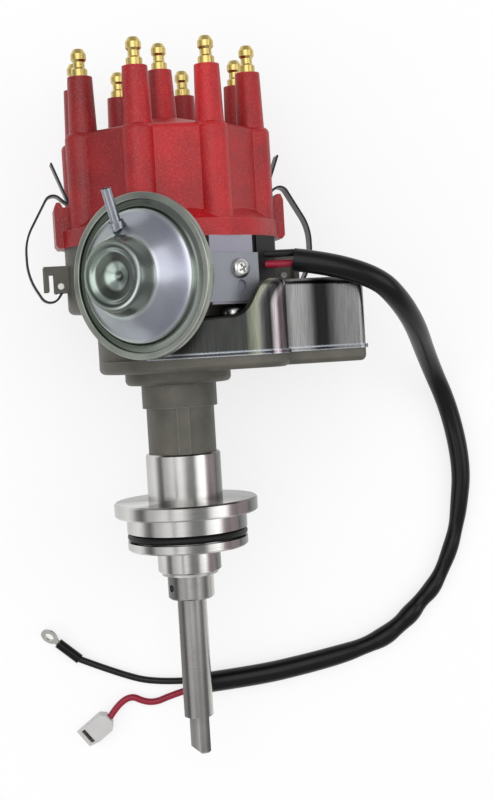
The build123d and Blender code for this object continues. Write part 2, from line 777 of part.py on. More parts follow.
# ================================================================ rotor and reluctor on the advance cam
with BuildPart() as rotor:
    disc(rotor_bottom, rotor_top - 6, rotor_r)
    with BuildSketch(facing(rotor_azimuth, 0, rotor_top - 3)):
        with Locations((0, 0)):
            Rectangle(blade_width + 5, 6)
    extrude(amount=electrode_circle_r - electrode_r - spark_gap - 2.5)
    disc(rotor_top - 6, rotor_top, rotor_r - 2)
    disc(rotor_bottom, cam_sleeve_top + 0.2, cam_sleeve_r + seat_gap, Mode.SUBTRACT)
finish(rotor.part, "rotor")

with BuildPart() as rotor_blade:
    with BuildSketch(facing(rotor_azimuth, 0, rotor_top + blade_thick / 2)):
        Rectangle(blade_width, blade_thick)
    extrude(amount=electrode_circle_r - electrode_r - spark_gap)
    disc(rotor_top, rotor_top + blade_thick, blade_width / 2)
finish(rotor_blade.part, "rotor_blade")

with BuildPart() as reluctor:
    with BuildSketch(level(reluctor_bottom)):
        Circle(reluctor_r - 3)
        with PolarLocations(0, tower_count):
            with Locations((reluctor_r / 2, 0)):
                Rectangle(reluctor_r, reluctor_tooth)
        Circle(reluctor_r, mode=Mode.INTERSECT)
        Circle(cam_sleeve_r, mode=Mode.SUBTRACT)
    extrude(amount=reluctor_height)
finish(reluctor.part, "reluctor")


def along(azimuth):
    """A location turned so that its x runs out at an azimuth on a level plane."""
    return Location((0, 0), azimuth - 90)


with BuildPart() as advance_cam:
    with BuildSketch(level(cam_plate_bottom)):
        with Locations(along(cam_azimuth)):
            SlotOverall(2 * cam_plate_half, cam_plate_width)
            for side in (-1, 1):
                with Locations((side * (toe_circle + toe_travel / 2), 0)):
                    SlotOverall(toe_travel + 2 * (toe_pin_r + toe_play), 2 * (toe_pin_r + toe_play),
                                mode=Mode.SUBTRACT)
    extrude(amount=cam_plate_thick)
    disc(cam_plate_bottom, cam_sleeve_top, cam_sleeve_r)
    disc(cam_plate_bottom, cam_sleeve_top, journal_r + running_gap, Mode.SUBTRACT)
    for side in (0, 180):
        disc(cam_plate_top, cam_plate_top + 3.2, spring_post_r, at=around(cam_post_circle, cam_azimuth + side))
finish(advance_cam.part, "advance_cam")

# ================================================================ centrifugal weights on the shaft's plate
with BuildPart() as weight_plate:
    ring(plate_bottom, plate_top, plate_r, journal_r)
    for side in (0, 180):
        disc(plate_bottom, plate_top, weight_pin_r, Mode.SUBTRACT,
             around(weight_pin_circle, weight_pivot_azimuth + side))
        disc(plate_top, cam_plate_top + 3.2, spring_post_r, at=around(spring_post_circle, spring_post_azimuth + side))
finish(weight_plate.part, "weight_plate")

with BuildPart() as weight_pins:
    for side in (0, 180):
        disc(plate_bottom, weight_top + 0.2, weight_pin_r, at=around(weight_pin_circle, weight_pivot_azimuth + side))
finish(weight_pins.part, "weight_pins")

for name, turn in (("advance_weight_a", 0), ("advance_weight_b", 180)):
    with BuildPart() as weight:
        with BuildSketch(level(weight_bottom)):
            Circle(weight_outer_r)
            Circle(weight_inner_r, mode=Mode.SUBTRACT)
            with BuildLine():
                middle = (weight_from + weight_to) / 2
                Polyline((0, 0), around(3 * weight_outer_r, weight_from + turn),
                         around(5 * weight_outer_r, middle + turn), around(3 * weight_outer_r, weight_to + turn),
                         close=True)
            make_face(mode=Mode.INTERSECT)
            with Locations(around(weight_pin_circle, weight_pivot_azimuth + turn)):
                Circle(weight_pin_r + running_gap, mode=Mode.SUBTRACT)
        extrude(amount=weight_thick)
        disc(weight_bottom, cam_plate_top + 0.6, toe_pin_r, at=around(toe_circle, cam_azimuth + turn))
    finish(weight.part, name)

spring_level = cam_plate_top + 1.9
with BuildPart() as advance_springs:
    for side in (0, 180):
        fixed = level(spring_level).from_local_coords(around(spring_post_circle, spring_post_azimuth + side))
        moving = level(spring_level).from_local_coords(around(cam_post_circle, cam_azimuth + side))
        way = (moving - fixed).normalized()
        first = fixed + way * (spring_post_r + spring_wire_r)
        span = (moving - fixed).length - 2 * (spring_post_r + spring_wire_r)
        with BuildLine() as winding:
            Helix(pitch=span / 6, height=span, radius=spring_coil_r, center=first, direction=way)
        with BuildSketch(Plane(origin=winding.line @ 0, z_dir=winding.line % 0)) as section:
            Circle(spring_wire_r)
        sweep(section.sketch, path=winding.line, is_frenet=True)
finish(advance_springs.part, "advance_springs")

# ================================================================ base plate and pickup
with BuildPart() as base_plate:
    with BuildSketch(level(base_plate_bottom)):
        Circle(base_plate_r)
        for azimuth in base_post_azimuths:
            with Locations(around(base_post_circle, azimuth)):
                Circle(base_ear_r)
            with Locations(around(base_post_circle - base_ear_r, azimuth)):
                Circle(base_ear_r + 1)
        Circle(base_hub_r - base_hub_wall, mode=Mode.SUBTRACT)
        for azimuth in base_post_azimuths:
            with Locations(around(base_post_circle, azimuth)):
                Circle(base_screw_r, mode=Mode.SUBTRACT)
    extrude(amount=base_plate_thick)
    ring(base_plate_bottom + base_plate_thick, pickup_plate_top + 0.2, base_hub_r, base_hub_r - base_hub_wall)
finish(base_plate.part, "base_plate")

with BuildPart() as base_plate_screws:
    for azimuth in base_post_azimuths:
        at = around(base_post_circle, azimuth)
        disc(floor_top + 1, base_plate_bottom + base_plate_thick, base_screw_r, at=at)
        disc(base_plate_bottom + base_plate_thick, base_plate_bottom + base_plate_thick + 1.6, 2.6, at=at)
finish(base_plate_screws.part, "base_plate_screws")

link_pin_local = (link_pin_at.X, -link_pin_at.Z)
with BuildPart() as pickup_plate:
    ring(pickup_plate_bottom, pickup_plate_top, pickup_plate_r, base_hub_r + running_gap)
    disc(pickup_plate_top, pickup_plate_top + 3.0, link_pin_r, at=link_pin_local)
finish(pickup_plate.part, "pickup_plate")

pole_from = reluctor_r + pickup_air_gap
pole_height = reluctor_bottom + reluctor_height / 2
bobbin_from = base_hub_r + 1.2
bobbin_to = bobbin_from + 7.5
with BuildPart() as pickup_coil:
    with BuildSketch(facing(pickup_azimuth, pole_from, pole_height)):
        Rectangle(reluctor_tooth, reluctor_height)
    extrude(amount=bobbin_to - pole_from)
    for start, end, radius in ((bobbin_from, bobbin_from + 1, 5.6), (bobbin_from + 1, bobbin_to - 1, 4.6),
                               (bobbin_to - 1, bobbin_to, 5.6)):
        with BuildSketch(facing(pickup_azimuth, start, pole_height)):
            Circle(radius)
        extrude(amount=end - start)
finish(pickup_coil.part, "pickup_coil")

with BuildPart() as pickup_magnet:
    magnet_top = pole_height + reluctor_height / 2
    with BuildSketch(facing(pickup_azimuth, bobbin_to, (pickup_plate_top + magnet_top) / 2)):
        Rectangle(10, magnet_top - pickup_plate_top)
    extrude(amount=3.4)
finish(pickup_magnet.part, "pickup_magnet")

# ================================================================ vacuum canister
canister_profile = Plane(origin=canister_centre, x_dir=(0, 1, 0), z_dir=canister_side)
canister_axis = Axis(canister_centre, canister_forward)


def across(forward):
    """A plane across the canister's axis, some way forward of its rim."""
    return Plane(origin=canister_centre + canister_forward * forward, x_dir=canister_side, z_dir=canister_forward)


def pressed(points, radius):
    """A pressed shell turned about the canister's axis, from the middle line of its sheet."""
    with BuildSketch(canister_profile) as sheet:
        with BuildLine() as middle:
            FilletPolyline(*points, radius=radius)
            offset(amount=shell_wall / 2)
        make_face()
    revolve(sheet.sketch, axis=canister_axis)


cone_slope = (canister_boss_base - ring_rise) / (ring_r - canister_boss_base_r)
nipple_reach = sqrt(nipple_up ** 2 + nipple_side ** 2)
nipple_forward = ring_rise + (ring_r - nipple_reach) * cone_slope
nipple_foot = (canister_centre + Vector(0, nipple_up, 0) + canister_side * nipple_side
               + canister_forward * nipple_forward)
nipple_way = Vector(0, cos(radians(nipple_lean)), 0) + canister_forward * sin(radians(nipple_lean))
flange_face = 0.5
half_wall = shell_wall / 2
with BuildPart() as canister_front_shell:
    pressed(((canister_r - shell_wall - half_wall, flange_face - half_wall), (ring_r + 1.2, flange_face - half_wall),
             (ring_r - half_wall, ring_rise - half_wall), (canister_boss_base_r, canister_boss_base - half_wall),
             (canister_boss_r - half_wall, canister_boss_height - half_wall),
             (dimple_r, canister_boss_height - dimple_step - half_wall), (1.8, canister_boss_height - dimple_depth)), 0.7)
    with BuildSketch(Plane(origin=nipple_foot, z_dir=nipple_way)):
        Circle(nipple_r)
    extrude(amount=4, both=True, mode=Mode.SUBTRACT)
finish(canister_front_shell.part, "canister_front_shell")

diaphragm_thick = 0.6
diaphragm_back = flange_face - shell_wall - diaphragm_thick
with BuildPart() as canister_rear_shell:
    pressed(((canister_r - 2.4, flange_face + half_wall), (canister_r - half_wall, flange_face + half_wall),
             (canister_r - half_wall, diaphragm_back - half_wall), (canister_r - 3.6, diaphragm_back - half_wall),
             (canister_r - 4.6, half_wall - rear_depth), (canister_neck_r - half_wall, half_wall - rear_depth),
             (canister_neck_r - half_wall, canister_neck_end)), 0.3)
finish(canister_rear_shell.part, "canister_rear_shell")

with BuildPart() as vacuum_nipple:
    with BuildSketch(Plane(origin=nipple_foot, z_dir=nipple_way)):
        Circle(nipple_r)
    extrude(amount=nipple_length)
    with BuildSketch(Plane(origin=nipple_foot, z_dir=nipple_way)):
        Circle(nipple_r + 1.0)
    extrude(amount=2.6)
    with BuildSketch(Plane(origin=nipple_foot, z_dir=nipple_way)):
        Circle(nipple_r)
    extrude(amount=-1.5)
    with BuildSketch(Plane(origin=nipple_foot, z_dir=nipple_way)):
        Circle(nipple_bore_r)
    extrude(amount=nipple_length + 5, both=True, mode=Mode.SUBTRACT)
    add(canister_front_shell.part, mode=Mode.SUBTRACT)
finish(vacuum_nipple.part.solids().sort_by(SortBy.VOLUME)[-1], "vacuum_nipple")

with BuildPart() as diaphragm:
    with BuildSketch(across(diaphragm_back)):
        Circle(canister_r - 1.0)
        Circle(link_r, mode=Mode.SUBTRACT)
    extrude(amount=diaphragm_thick)
finish(diaphragm.part, "diaphragm")

cup_r = 17.0
cup_thick = 0.8
with BuildPart() as diaphragm_cup:
    with BuildSketch(across(diaphragm_back + diaphragm_thick)):
        Circle(cup_r)
        Circle(link_r, mode=Mode.SUBTRACT)
    extrude(amount=cup_thick)
finish(diaphragm_cup.part, "diaphragm_cup")

cup_face = diaphragm_back + diaphragm_thick + cup_thick
spring_end = canister_boss_height - dimple_step - 2 * shell_wall
coil_spring("diaphragm_spring", canister_centre + canister_forward * (cup_face + 0.75), canister_forward,
            spring_end - cup_face - 1.5, diaphragm_coil_r, 0.6, 3)

with BuildPart() as vacuum_link:
    with BuildSketch(across(cup_face)):
        Circle(link_r)
    extrude(amount=-joggle_at - cup_face - joggle_length / 2)
    with BuildSketch(across(cup_face)):
        Circle(link_r + 1.2)
    extrude(amount=0.6)
    with BuildSketch(across(-joggle_at)):
        with Locations((0, (link_low + link_eye_high) / 2 - canister_height)):
            Rectangle(joggle_width, link_eye_high - link_low)
    extrude(amount=-joggle_length)
    with BuildSketch(Plane(origin=(link_pin_at.X, link_eye_low, link_pin_at.Z), x_dir=canister_forward,
                           z_dir=(0, 1, 0))):
        with Locations(((link_reach - joggle_at) / 2, 0)):
            Rectangle(link_reach - joggle_at, joggle_width)
        Circle(link_eye_r)
        Circle(link_eye_hole_r, mode=Mode.SUBTRACT)
    extrude(amount=link_eye_thick)
finish(vacuum_link.part, "vacuum_link")

# bracket: a strip folded from the canister's neck to the pad on the bowl
pad_across = Vector(cos(radians(pad_azimuth)), 0, -sin(radians(pad_azimuth)))
pad_out = Vector(sin(radians(pad_azimuth)), 0, cos(radians(pad_azimuth)))
neck_face = canister_centre + canister_forward * -rear_depth
fold_far = neck_face - canister_forward * (bracket_thick / 2) - canister_side * 9.5
fold_near = neck_face - canister_forward * (bracket_thick / 2) + canister_side * 9.5
pad_from = pad_out * (pad_distance + bracket_thick / 2) - pad_across * 15.0
pad_to = pad_out * (pad_distance + bracket_thick / 2) + pad_across * (bracket_reach - bracket_thick / 2)
with BuildPart() as canister_bracket:
    with BuildSketch(level(bracket_low)):
        with BuildLine() as strip:
            FilletPolyline(*[(p.X, -p.Z) for p in (fold_far, fold_near, pad_from, pad_to)], radius=1.8)
            offset(amount=bracket_thick / 2)
        make_face()
    extrude(amount=bracket_high - bracket_low)
    with BuildSketch(across(-rear_depth)):
        Circle(canister_neck_r)
    extrude(amount=-2 * bracket_thick, mode=Mode.SUBTRACT)
    with BuildSketch(facing(pad_azimuth, pad_distance)):
        with Locations((bracket_screw_u, bracket_screw_height)):
            Circle(screw_r)
        with Locations((bracket_hole_u, bracket_hole_height)):
            Circle(bracket_hole_r)
    extrude(amount=2 * bracket_thick, mode=Mode.SUBTRACT)
finish(canister_bracket.part, "canister_bracket")

with BuildPart() as bracket_screw:
    with BuildSketch(facing(pad_azimuth, pad_distance + bracket_thick)):
        with Locations((bracket_screw_u, bracket_screw_height)):
            Circle(screw_head_r)
    extrude(amount=screw_head_height - 0.6)
    fillet(bracket_screw.faces().sort_by(Axis(( 0, 0, 0), pad_out))[-1].edges(), 1.2)
    with BuildSketch(facing(pad_azimuth, pad_distance + bracket_thick)):
        with Locations((bracket_screw_u, bracket_screw_height)):
            Circle(screw_r)
    extrude(amount=-(pad_distance + bracket_thick - bowl_inner_r - 0.5))
finish(bracket_screw.part, "bracket_screw")

# ================================================================ spring clips
curl_r = clip_pin_r + 0.15 + clip_thick / 2


def spring_clip(azimuth, name):
    """A spring-steel strip that curls round its pin, bows outwards and hooks over the cap's ear."""
    bends = (((pivot_r + curl_r, pivot_height + curl_r), curl_r - 0.01),
             ((pivot_r - curl_r, pivot_height + curl_r), curl_r - 0.01),
             ((pivot_r - curl_r, pivot_height - 0.7), 2.0),
             ((pivot_r + 4.8, pivot_height - clip_dip), 4.3),
             ((pivot_r + clip_bow, pivot_height + 4.6), 25.0),
             ((pivot_r + clip_bow, ear_top - 14.5), 22.0),
             ((ear_r + 0.8, ear_top + 5.5), 3.6),
             ((ear_r - 7.2, ear_top - 1.3), 0.7))
    with BuildPart() as clip:
        with BuildSketch(profile(azimuth)):
            with BuildLine():
                FilletPolyline((pivot_r + curl_r, pivot_height - 2.6), *[corner for corner, _ in bends],
                               (ear_r - 0.3, ear_top + clip_tab_reach), radius=[radius for _, radius in bends])
                offset(amount=clip_thick / 2)
            make_face()
        extrude(amount=clip_width / 2, both=True)
    finish(clip.part, name)


spring_clip(ear_azimuth, "clip_right")
spring_clip(ear_azimuth + 180, "clip_left")

with BuildPart() as clip_pins:
    for azimuth in (ear_azimuth, ear_azimuth + 180):
        with BuildSketch(profile(azimuth)) as pin:
            with Locations((pivot_r, pivot_height)):
                Circle(clip_pin_r)
        extrude(pin.sketch, amount=clip_width / 2 + clip_ear_gap + clip_ear_wall, both=True)
finish(clip_pins.part, "clip_pins")

# ================================================================ leads, sleeve and tails
on_bench = -bench_depth + 0.1
sleeve_z = on_bench + loom_r
wire_z = on_bench + wire_r
shrink_z = on_bench + shrink_r


def tube(name, radius, *points):
    """A cord as a plain tube, of straight runs with an arc at each corner."""
    corners = [Vector(*p) for p in points]
    arcs = []
    for before, corner, after in zip(corners, corners[1:], corners[2:]):
        shorter_run = min((corner - before).length, (after - corner).length)
        half_turn = (corner - before).get_angle(after - corner) / 2
        arcs.append(arc_share * shorter_run / tan(radians(half_turn)))
    with BuildPart() as cord:
        with BuildLine() as route:
            FilletPolyline(*corners, radius=arcs)
        with BuildSketch(Plane(origin=route.line @ 0, z_dir=route.line % 0)) as section:
            Circle(radius)
        sweep(section.sketch, path=route.line)
    print(name, "arc radii", [round(r, 1) for r in arcs],
          "volume", round(cord.part.volume), "section x length", round(pi * radius ** 2 * sum(e.length for e in route.edges())))
    finish(cord.part, name)
    return cord.part


wire_loom = tube("wire_loom", loom_r, sleeve_start, (80, 100, 30), (99.5, 82, 14), (115, 57.5, -31),
                 (125.5, 35, sleeve_z), (130.5, 2, sleeve_z), (121, -43, sleeve_z), (91.5, -69.5, sleeve_z),
                 (56.5, -79.5, sleeve_z), (28, -84, sleeve_z), (0, -86, sleeve_z))
black_end = Vector(-54, -71, shrink_z)
tube("black_wire", wire_r, (-0.4, -84.9, wire_z), (-19, -85, wire_z), (-37, -79, wire_z), black_end)
connector_entry = Vector(-41.6, -99.2, on_bench + connector_height / 2)
tube("red_wire", wire_r, (-0.4, -88.3, wire_z), (-11.5, -91, wire_z), (-22.5, -95, wire_z), (-34, -88.5, wire_z),
     connector_entry)

lead_heights = (lead_middle - lead_pitch / 2, lead_middle + lead_pitch / 2)
lead_ends = []
for name, height in zip(("red_lead", "black_lead"), lead_heights):
    start = Vector(lead_from_x, height, lead_from_z)
    way = Vector(*sleeve_start) - Vector(lead_from_x, sleeve_start[1], lead_from_z)
    with BuildPart() as lead:
        with BuildSketch(Plane(origin=start, z_dir=way)):
            Circle(wire_r)
        extrude(amount=way.length + 2)
        add(wire_loom, mode=Mode.SUBTRACT)
    whole = lead.part.solids().sort_by(SortBy.VOLUME)[-1]
    finish(Part([whole]), name)
    lead_ends.append(lead.part)

with BuildPart() as grommet:
    grommet_top = bowl_top - 0.1
    grommet_middle = (grommet_bottom + grommet_top) / 2
    for start, end, width in ((bowl_inner_r - 1.6, bowl_inner_r - 0.2, grommet_width + 3),
                              (bowl_inner_r - 0.2, bowl_r + 0.3, grommet_width - 0.1),
                              (bowl_r + 0.3, bowl_r + grommet_proud, grommet_width + 3)):
        low = grommet_bottom if start == bowl_inner_r - 0.2 else grommet_bottom - 1.0
        with BuildSketch(facing(grommet_azimuth, start, (low + grommet_top) / 2)):
            RectangleRounded(width, grommet_top - low, 0.4)
        extrude(amount=end - start)
    for piece in lead_ends:
        add(piece, mode=Mode.SUBTRACT)
    add(housing.part, mode=Mode.SUBTRACT)
    with BuildSketch(facing(pad_azimuth, pad_distance - 1.0, grommet_middle)):
        Rectangle(2 * (bracket_reach + 0.1), 2 * grommet_top - 2 * grommet_bottom)
    extrude(amount=10, mode=Mode.SUBTRACT)
    disc(cap_bottom - spigot_depth - 0.3, cap_bottom, bowl_inner_r, Mode.SUBTRACT)
finish(grommet.part, "grommet")

# ================================================================ ring terminal on the black tail
ring_z = on_bench + ring_outer_r * sin(radians(ring_tilt)) + ring_thick / 2 * cos(radians(ring_tilt))
ring_centre = Vector(-67.1, -59.3, ring_z)
terminal_way = (ring_centre - black_end).normalized()
level_across = Vector(-terminal_way.Y, terminal_way.X, 0).normalized()
ring_plane = Plane(origin=ring_centre, x_dir=terminal_way,
                   z_dir=terminal_way.cross(level_across) * cos(radians(ring_tilt))
                   + level_across * sin(radians(ring_tilt)))
terminal_start = Plane(origin=black_end, z_dir=terminal_way)
with BuildPart() as ring_terminal:
    with BuildSketch(ring_plane.offset(-ring_thick / 2)):
        Circle(ring_outer_r)
        with Locations((-ring_outer_r - 0.5, 0)):
            Rectangle(4, 2 * barrel_r - 0.4)
        Circle(ring_hole_r, mode=Mode.SUBTRACT)
    extrude(amount=ring_thick)
    with BuildSketch(terminal_start.offset(0.6)):
        Circle(barrel_r)
    extrude(amount=(ring_centre - black_end).length - ring_outer_r - 1.8)
finish(ring_terminal.part, "ring_terminal")

with BuildPart() as heat_shrink:
    with BuildSketch(terminal_start):
        Circle(shrink_r)
        Circle(barrel_r, mode=Mode.SUBTRACT)
    extrude(amount=shrink_length)
finish(heat_shrink.part, "heat_shrink")

# ================================================================ connector on the red tail
connector_way = Vector(cos(radians(connector_azimuth)), sin(radians(connector_azimuth)), 0)
connector_across = Vector(-connector_way.Y, connector_way.X, 0)
connector_base = Vector(connector_entry.X, connector_entry.Y, on_bench)
side_plane = Plane(origin=connector_base, x_dir=connector_way, z_dir=Vector(connector_way.Y, -connector_way.X, 0))
along_plane = Plane(origin=connector_entry, x_dir=connector_across, z_dir=connector_way)
slant = connector_height * tan(radians(connector_slant))
with BuildPart() as connector_housing:
    with BuildSketch(side_plane):
        with BuildLine():
            Polyline((0, 0), (connector_length, 0), (connector_length - slant, connector_height),
                     (0, connector_height), close=True)
        make_face()
    extrude(amount=connector_width / 2, both=True)
    fillet(connector_housing.edges().filter_by(lambda e: abs(e.length - connector_height) < 0.01), 0.8)
    with BuildSketch(along_plane):
        Circle(wire_r + 0.9)
    extrude(amount=6, mode=Mode.SUBTRACT)
    with BuildSketch(along_plane.offset(5)):
        Rectangle(mouth_width, mouth_height)
    extrude(amount=connector_length, mode=Mode.SUBTRACT)
finish(connector_housing.part, "connector_housing")

with BuildPart() as spade_terminal:
    with BuildSketch(along_plane.offset(0.8)):
        Circle(wire_r + 0.5)
    extrude(amount=5.4)
    with BuildSketch(along_plane.offset(6.2)):
        Rectangle(spade_width, mouth_height - 1)
        Rectangle(spade_width - 2 * spade_thick, mouth_height - 1 - 2 * spade_thick, mode=Mode.SUBTRACT)
    extrude(amount=6.4)
finish(spade_terminal.part, "spade_terminal")
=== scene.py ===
from math import cos, pi, radians, sin

import bpy
from mathutils import Matrix, Vector


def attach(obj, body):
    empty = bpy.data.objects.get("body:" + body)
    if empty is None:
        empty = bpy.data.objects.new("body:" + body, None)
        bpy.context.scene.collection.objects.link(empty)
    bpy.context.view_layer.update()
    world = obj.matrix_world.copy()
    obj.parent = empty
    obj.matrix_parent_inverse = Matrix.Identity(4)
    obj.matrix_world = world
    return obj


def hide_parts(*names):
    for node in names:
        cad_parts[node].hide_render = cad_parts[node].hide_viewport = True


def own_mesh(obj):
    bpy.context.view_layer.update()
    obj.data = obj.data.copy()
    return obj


# An ignition distributor lying on its back on a bench, with its lead beside it. Metres.
# +Y runs along the shaft towards the cap, +X to the module cover and +Z up from the bench.
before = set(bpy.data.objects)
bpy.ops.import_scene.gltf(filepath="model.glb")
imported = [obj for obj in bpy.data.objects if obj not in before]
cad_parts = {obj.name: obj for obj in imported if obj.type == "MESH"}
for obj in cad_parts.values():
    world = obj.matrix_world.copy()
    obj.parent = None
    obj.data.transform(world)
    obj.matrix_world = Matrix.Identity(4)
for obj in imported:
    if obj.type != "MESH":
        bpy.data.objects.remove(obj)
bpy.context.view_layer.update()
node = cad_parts

# ---------------------------------------------------------------- bench and studio
# A white bench top a little under the distributor's back, a camera above it that looks nearly
# straight down, and large soft lamps overhead.
bench_z = -0.0465
camera_place = Vector((0.0, 0.0748, 0.578375))
camera_turn = (radians(-2.5638), radians(-3.0087), radians(-3.4002))
frame_long_side = 800
focal_pixels = 1340
sensor_height = 36
camera_data = bpy.data.cameras.new("camera")
camera_data.sensor_fit = "VERTICAL"
camera_data.sensor_height = sensor_height
camera_data.lens = sensor_height * focal_pixels / frame_long_side
camera_data.clip_start = 0.01
camera = bpy.data.objects.new("camera", camera_data)
bpy.context.scene.collection.objects.link(camera)
camera.location = camera_place
camera.rotation_euler = camera_turn
bpy.context.scene.camera = camera
bpy.context.scene.view_settings.view_transform = "Standard"

bpy.ops.object.select_all(action="DESELECT")
bpy.ops.mesh.primitive_plane_add(size=6, location=(0, 0, bench_z - 0.0002))
bench = bpy.context.object
bench.name = "bench"
bench_paint = bpy.data.materials.new("bench_paint")
bench_paint.use_nodes = True
bench_shader = bench_paint.node_tree.nodes["Principled BSDF"]
bench_shader.inputs["Base Color"].default_value = (0.98, 0.98, 0.98, 1)
bench_shader.inputs["Roughness"].default_value = 0.9
bench_shader.inputs["Specular IOR Level"].default_value = 0.0
# the lens and the glossy parts see an even white top, and its shadows only faintly
bench_glow_share = 0.72
bench_tree = bench_paint.node_tree
bench_glow = bench_tree.nodes.new("ShaderNodeEmission")
bench_ray = bench_tree.nodes.new("ShaderNodeLightPath")
bench_seen = bench_tree.nodes.new("ShaderNodeMath")
bench_through = bench_tree.nodes.new("ShaderNodeMath")
bench_share = bench_tree.nodes.new("ShaderNodeMath")
bench_share.operation = "MULTIPLY"
bench_share.use_clamp = True
bench_share.inputs[1].default_value = bench_glow_share
bench_mix = bench_tree.nodes.new("ShaderNodeMixShader")
bench_tree.links.new(bench_ray.outputs["Is Camera Ray"], bench_seen.inputs[0])
bench_tree.links.new(bench_ray.outputs["Is Glossy Ray"], bench_seen.inputs[1])
bench_tree.links.new(bench_seen.outputs["Value"], bench_through.inputs[0])
bench_tree.links.new(bench_ray.outputs["Is Transmission Ray"], bench_through.inputs[1])
bench_tree.links.new(bench_through.outputs["Value"], bench_share.inputs[0])
bench_tree.links.new(bench_share.outputs["Value"], bench_mix.inputs["Fac"])
bench_tree.links.new(bench_shader.outputs["BSDF"], bench_mix.inputs[1])
bench_tree.links.new(bench_glow.outputs["Emission"], bench_mix.inputs[2])
bench_tree.links.new(bench_mix.outputs["Shader"], bench_tree.nodes["Material Output"].inputs["Surface"])
bench.data.materials.append(bench_paint)

world = bpy.data.worlds.new("studio")
world.use_nodes = True
bpy.context.scene.world = world
sky = world.node_tree
sky_coords = sky.nodes.new("ShaderNodeTexCoord")
sky_split = sky.nodes.new("ShaderNodeSeparateXYZ")
sky_ramp = sky.nodes.new("ShaderNodeValToRGB")
sky.links.new(sky_coords.outputs["Generated"], sky_split.inputs["Vector"])
sky.links.new(sky_split.outputs["Z"], sky_ramp.inputs["Fac"])
sky.links.new(sky_ramp.outputs["Color"], sky.nodes["Background"].inputs["Color"])
sky_ramp.color_ramp.elements[0].position = 0.0
sky_ramp.color_ramp.elements[0].color = (0.42, 0.42, 0.43, 1)
sky_ramp.color_ramp.elements[1].position = 0.95
sky_ramp.color_ramp.elements[1].color = (0.62, 0.62, 0.63, 1)

lamp_target = Vector((0.0, 0.05, 0.0))
lamps = (("overhead", (-0.10, 0.25, 0.85), 0.80, 3.0),
         ("side", (0.75, 0.1, 0.60), 0.60, 1.9),
         ("low", (-0.65, -0.2, 0.60), 0.60, 1.5))
for name, place, size, power in lamps:
    lamp_data = bpy.data.lights.new(name, "AREA")
    lamp_data.size = size
    lamp_data.energy = power
    lamp = bpy.data.objects.new(name, lamp_data)
    bpy.context.scene.collection.objects.link(lamp)
    lamp.location = place
    lamp.rotation_euler = (lamp_target - Vector(place)).to_track_quat("-Z", "Y").to_euler()

# ---------------------------------------------------------------- housing
# Die-cast aluminium: stem, step, tray, neck and bowl in one piece, left as cast with a sandy skin
# that is rubbed brighter along its edges.


def group_socket(group, name, way, kind="NodeSocketFloat"):
    group.interface.new_socket(name, in_out=way, socket_type=kind)


# grain: a fine uneven skin, as a height and as a slow cloudiness
grain = bpy.data.node_groups.new("grain", "ShaderNodeTree")
group_socket(grain, "Scale", "INPUT")
group_socket(grain, "Fine", "OUTPUT")
group_socket(grain, "Cloud", "OUTPUT")
grain_in = grain.nodes.new("NodeGroupInput")
grain_out = grain.nodes.new("NodeGroupOutput")
grain_coords = grain.nodes.new("ShaderNodeTexCoord")
grain_fine = grain.nodes.new("ShaderNodeTexNoise")
grain_fine.inputs["Detail"].default_value = 3
grain_cloud = grain.nodes.new("ShaderNodeTexNoise")
grain_cloud.inputs["Scale"].default_value = 70
grain_cloud.inputs["Detail"].default_value = 4
grain.links.new(grain_coords.outputs["Object"], grain_fine.inputs["Vector"])
grain.links.new(grain_coords.outputs["Object"], grain_cloud.inputs["Vector"])
grain.links.new(grain_in.outputs["Scale"], grain_fine.inputs["Scale"])
grain.links.new(grain_fine.outputs["Fac"], grain_out.inputs["Fine"])
grain.links.new(grain_cloud.outputs["Fac"], grain_out.inputs["Cloud"])

# worn edge and painted highlight: bright where the surface turns within the given width; wear on most
# finishes, a painted highlight along the chrome cover's edges
edge_wear_and_highlight = bpy.data.node_groups.new("edge_wear_and_highlight", "ShaderNodeTree")
group_socket(edge_wear_and_highlight, "Width", "INPUT")
group_socket(edge_wear_and_highlight, "Mask", "OUTPUT")
edge_in = edge_wear_and_highlight.nodes.new("NodeGroupInput")
edge_out = edge_wear_and_highlight.nodes.new("NodeGroupOutput")
edge_round = edge_wear_and_highlight.nodes.new("ShaderNodeBevel")
edge_round.samples = 4
edge_flat = edge_wear_and_highlight.nodes.new("ShaderNodeNewGeometry")
edge_dot = edge_wear_and_highlight.nodes.new("ShaderNodeVectorMath")
edge_dot.operation = "DOT_PRODUCT"
edge_range = edge_wear_and_highlight.nodes.new("ShaderNodeMapRange")
edge_range.inputs["From Min"].default_value = 0.98
edge_range.inputs["From Max"].default_value = 0.82
edge_wear_and_highlight.links.new(edge_in.outputs["Width"], edge_round.inputs["Radius"])
edge_wear_and_highlight.links.new(edge_round.outputs["Normal"], edge_dot.inputs[0])
edge_wear_and_highlight.links.new(edge_flat.outputs["Normal"], edge_dot.inputs[1])
edge_wear_and_highlight.links.new(edge_dot.outputs["Value"], edge_range.inputs["Value"])
edge_wear_and_highlight.links.new(edge_range.outputs["Result"], edge_out.inputs["Mask"])


